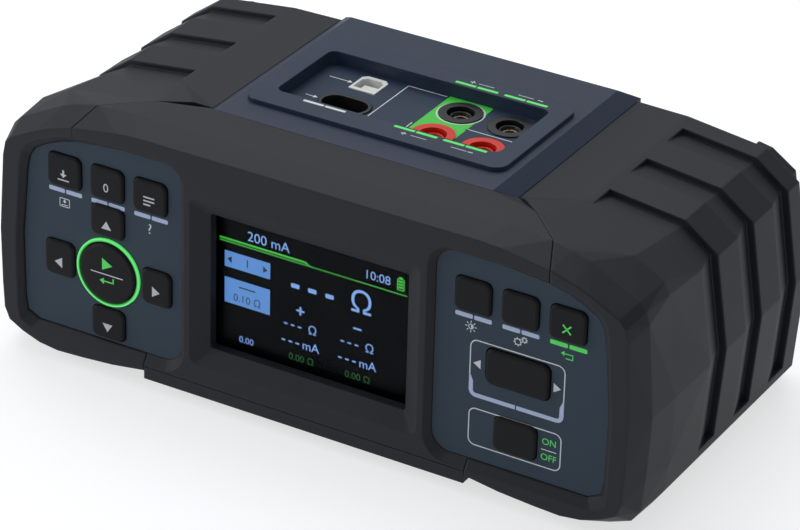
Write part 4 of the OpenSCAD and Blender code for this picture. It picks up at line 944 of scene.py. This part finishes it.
class OHMMETER_OT_connections(Step):
    """Connection plate, tray, sockets and their printed marks"""

    bl_idname = "ohmmeter.connections"
    bl_label = "Connections"

    def make(self, scene):
        prints = scene.ohmmeter_print
        dress(["connection_plate"], "plate_plastic")
        dress(["connection_tray"], "field_film")
        dress(["current_plus_socket", "current_minus_socket", "voltage_plus_socket", "voltage_minus_socket",
               "socket_nuts", "socket_contacts", "usb_socket", "usb_tongue", "mains_inlet", "mains_pins"])
        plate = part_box("connection_plate")[1].z
        floor = TRAY_FLOOR * MM

        green = Marks(plate, "TOP", prints.thick)
        for left, y in PLATE_GREEN_BARS:
            green.split_bar(left, y, PLATE_BAR_W, 1.3)
        green.make("plate_green_bars", "green_ink", "slate_panel")

        white = Marks(plate, "TOP", prints.thick)
        white.split_bar(-31.0, -15.4, PLATE_BAR_W, 1.2)
        for x, y, sign in PLATE_SIGNS:
            if sign == "+":
                white.bar(x, y, 0.4, 1.9)
            white.bar(x, y, 1.9, 0.4)
        for y in (28.0, -18.3):
            white.line((12.6, y), (18.6, y), 0.25)
            white.line((28.0, y), (34.0, y), 0.25)
        white.make("plate_white_marks", "white_ink", "slate_panel")

        patch = Marks(floor, "TOP", prints.thick)
        left, near, right, far = PATCH_BOX
        self.holed(patch, left, near, right, PATCH_PARTING, middle_of("voltage_plus_socket"))
        self.holed(patch, left, PATCH_PARTING, right, far, middle_of("current_plus_socket"))
        patch.make("tray_green_patch", "patch_ink", "slate_panel")

        lines = Marks(floor, "TOP", prints.thick)
        for start, end in TRAY_LINES:
            lines.line(start, end, 0.3)
        for x, y in TRAY_ARROW_TIPS:
            lines.shape([(x, y), (x - 1.6, y + 0.9), (x - 1.6, y - 0.9)])
        lines.make("tray_lines", "mark_ink", "slate_panel")

        ring = Marks(floor + prints.thick, "TOP", 0.03 * MM)
        spot = middle_of("current_plus_socket")
        ring.ring(spot.x, spot.y, *SOCKET_RING_R)
        ring.make("socket_ring", "white_ink", "slate_panel")
        for kind, finish in (("current", "black_plastic"), ("voltage", "red_plastic")):
            for end in ("plus", "minus"):
                self.sleeve(f"{kind}_{end}_sleeve", middle_of(f"{kind}_{end}_socket"), finish)

    def holed(self, marks, left, low, right, high, middle):
        """A rectangle with a round hole for a socket"""
        hole, edge = [], []
        for i in range(72):
            turn = math.radians(5 * i)
            x, y = math.cos(turn), math.sin(turn)
            reach = min(
                ((right if x > 0 else left) - middle.x) / x if abs(x) > 1e-6 else 1e9,
                ((high if y > 0 else low) - middle.y) / y if abs(y) > 1e-6 else 1e9,
            )
            hole.append((middle.x + PATCH_HOLE_R * x, middle.y + PATCH_HOLE_R * y))
            edge.append((middle.x + reach * x, middle.y + reach * y))
        marks.band(hole, edge)

    def sleeve(self, name, middle, finish):
        """Insulating sleeve that stands round the contact inside a safety socket"""
        turns = [math.tau * i / SLEEVE_STEPS for i in range(SLEEVE_STEPS)]
        tube = bmesh.new()
        rings = [
            [tube.verts.new(Vector((middle.x + radius * math.cos(turn), middle.y + radius * math.sin(turn), z)) * MM)
             for turn in turns]
            for radius, z in SLEEVE_PROFILE
        ]
        for a, b in zip(rings, rings[1:] + rings[:1]):
            for i in range(SLEEVE_STEPS):
                j = (i + 1) % SLEEVE_STEPS
                tube.faces.new((a[i], a[j], b[j], b[i]))
        bmesh.ops.recalc_face_normals(tube, faces=tube.faces)
        data = bpy.data.meshes.new(name)
        tube.to_mesh(data)
        tube.free()
        data.shade_smooth()
        data.materials.append(finish_named(finish))
        thing = bpy.data.objects.new(name, data)
        bpy.context.scene.collection.objects.link(thing)
        thing.modifiers.new("edges", "EDGE_SPLIT")
        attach(thing, HOUSING)


class OHMMETER_OT_inside(Step):
    """Boards, supply, shunt, cells and screws inside"""

    bl_idname = "ohmmeter.inside"
    bl_label = "Inside"

    def make(self, scene):
        dress(["main_board", "supply_board", "transformer", "shunt_resistor", "heat_sink", "battery_tray",
               "battery_cells", "battery_door_screws", "board_screws", "frame_screws", "housing_screws"])


class OHMMETER_OT_stage(Step):
    """Floor, soft light, room and camera"""

    bl_idname = "ohmmeter.stage"
    bl_label = "Stage"

    def make(self, scene):
        stage = scene.ohmmeter_stage
        scene.view_settings.view_transform = "Standard"
        self.floor(scene, stage)
        self.room(scene, stage)
        self.lamp(scene, "soft_top", (-0.45, 0.5, 1.5), 1.5, stage.key_power)
        self.lamp(scene, "soft_left", (-1.5, -0.75, 0.65), 0.9, stage.side_power)
        camera = bpy.data.cameras.new("camera")
        camera.lens, camera.sensor_width, camera.sensor_fit = stage.lens, 36, "HORIZONTAL"
        camera.clip_start, camera.clip_end = 0.05, 30
        holder = bpy.data.objects.new("camera", camera)
        holder.location = stage.place
        holder.rotation_euler = Euler(stage.turn, "XYZ")
        scene.collection.objects.link(holder)
        scene.camera = holder

    def floor(self, scene, stage):
        f = Finish("pale_floor")
        wear = f.noise(220, 3.0)
        seen, mirrored, through = (
            f.term("ShaderNodeLightPath", None, None, f"Is {ray} Ray") for ray in ("Camera", "Glossy", "Transmission")
        )
        lift = seen + mirrored + through
        base = f.blend(wear, four(scaled(stage.floor, 0.99)), four(stage.floor))
        f.close(
            Base_Color=base, Roughness=0.7 + wear * 0.05, Specular_IOR_Level=0.1,
            Emission_Color=(1, 1, 1, 1), Emission_Strength=lift.held() * stage.lift,
        )
        grid = bmesh.new()
        bmesh.ops.create_grid(grid, x_segments=12, y_segments=12, size=6.0)
        data = bpy.data.meshes.new("floor")
        grid.to_mesh(data)
        grid.free()
        data.materials.append(f.material)
        thing = bpy.data.objects.new("floor", data)
        thing.location = (0, 0, CAD_BOX[0].z - 0.0002)
        scene.collection.objects.link(thing)

    def room(self, scene, stage):
        """A room that is bright near the horizon and darker overhead"""
        world = bpy.data.worlds.new("room")
        f = Finish("room", world)
        spot = f.term("ShaderNodeTexCoord", None, None, "Generated")
        height = f.term("ShaderNodeSeparateXYZ", None, {0: spot}, "Z")
        overhead = ((height - 0.25) * 1.6).held()
        colour = f.blend(overhead, (0.93, 0.96, 1.0, 1), (0.5, 0.53, 0.6, 1))
        shown = f.term("ShaderNodeLightPath", None, None, "Is Camera Ray")
        shader = f.node("ShaderNodeBackground", None, {
            "Color": f.blend(shown, colour, (1, 1, 1, 1)),
            "Strength": stage.sky * (1 - shown) + shown,
        })
        output = f.node("ShaderNodeOutputWorld")
        f.tree.links.new(shader.outputs[0], output.inputs["Surface"])
        scene.world = world

    def lamp(self, scene, name, place, size, power):
        light = bpy.data.lights.new(name, "AREA")
        light.shape, light.size, light.energy = "SQUARE", size, power
        light.color = (0.97, 0.985, 1.0)
        thing = bpy.data.objects.new(name, light)
        thing.location = place
        thing.rotation_euler = (-Vector(place)).to_track_quat("-Z", "Y").to_euler()
        scene.collection.objects.link(thing)


STEPS = (
    OHMMETER_OT_finishes, OHMMETER_OT_housing, OHMMETER_OT_bumpers, OHMMETER_OT_key_panels,
    OHMMETER_OT_keys, OHMMETER_OT_display, OHMMETER_OT_connections, OHMMETER_OT_inside, OHMMETER_OT_stage,
)
SETTINGS = {
    "ohmmeter_finish": FinishSettings, "ohmmeter_screen": ScreenSettings,
    "ohmmeter_print": PrintSettings, "ohmmeter_stage": StageSettings,
}


class OHMMETER_PT_panel(bpy.types.Panel):
    """Steps and settings of the meter"""

    bl_label = "Ohmmeter"
    bl_idname = "OHMMETER_PT_panel"
    bl_space_type = "VIEW_3D"
    bl_region_type = "UI"
    bl_category = "Ohmmeter"

    def draw(self, context):
        for step in STEPS:
            self.layout.operator(step.bl_idname)
        for name, group in SETTINGS.items():
            box = self.layout.box()
            for field in group.__annotations__:
                box.prop(getattr(context.scene, name), field)


CLASSES = (*SETTINGS.values(), *STEPS, OHMMETER_PT_panel)


def register():
    for kind in CLASSES:
        bpy.utils.register_class(kind)
    for name, group in SETTINGS.items():
        setattr(bpy.types.Scene, name, bpy.props.PointerProperty(type=group))


def unregister():
    for name in SETTINGS:
        delattr(bpy.types.Scene, name)
    for kind in reversed(CLASSES):
        bpy.utils.unregister_class(kind)


def main():
    register()
    for step in STEPS:
        group, name = step.bl_idname.split(".")
        getattr(getattr(bpy.ops, group), name)()


if __name__ == "__main__":
    main()
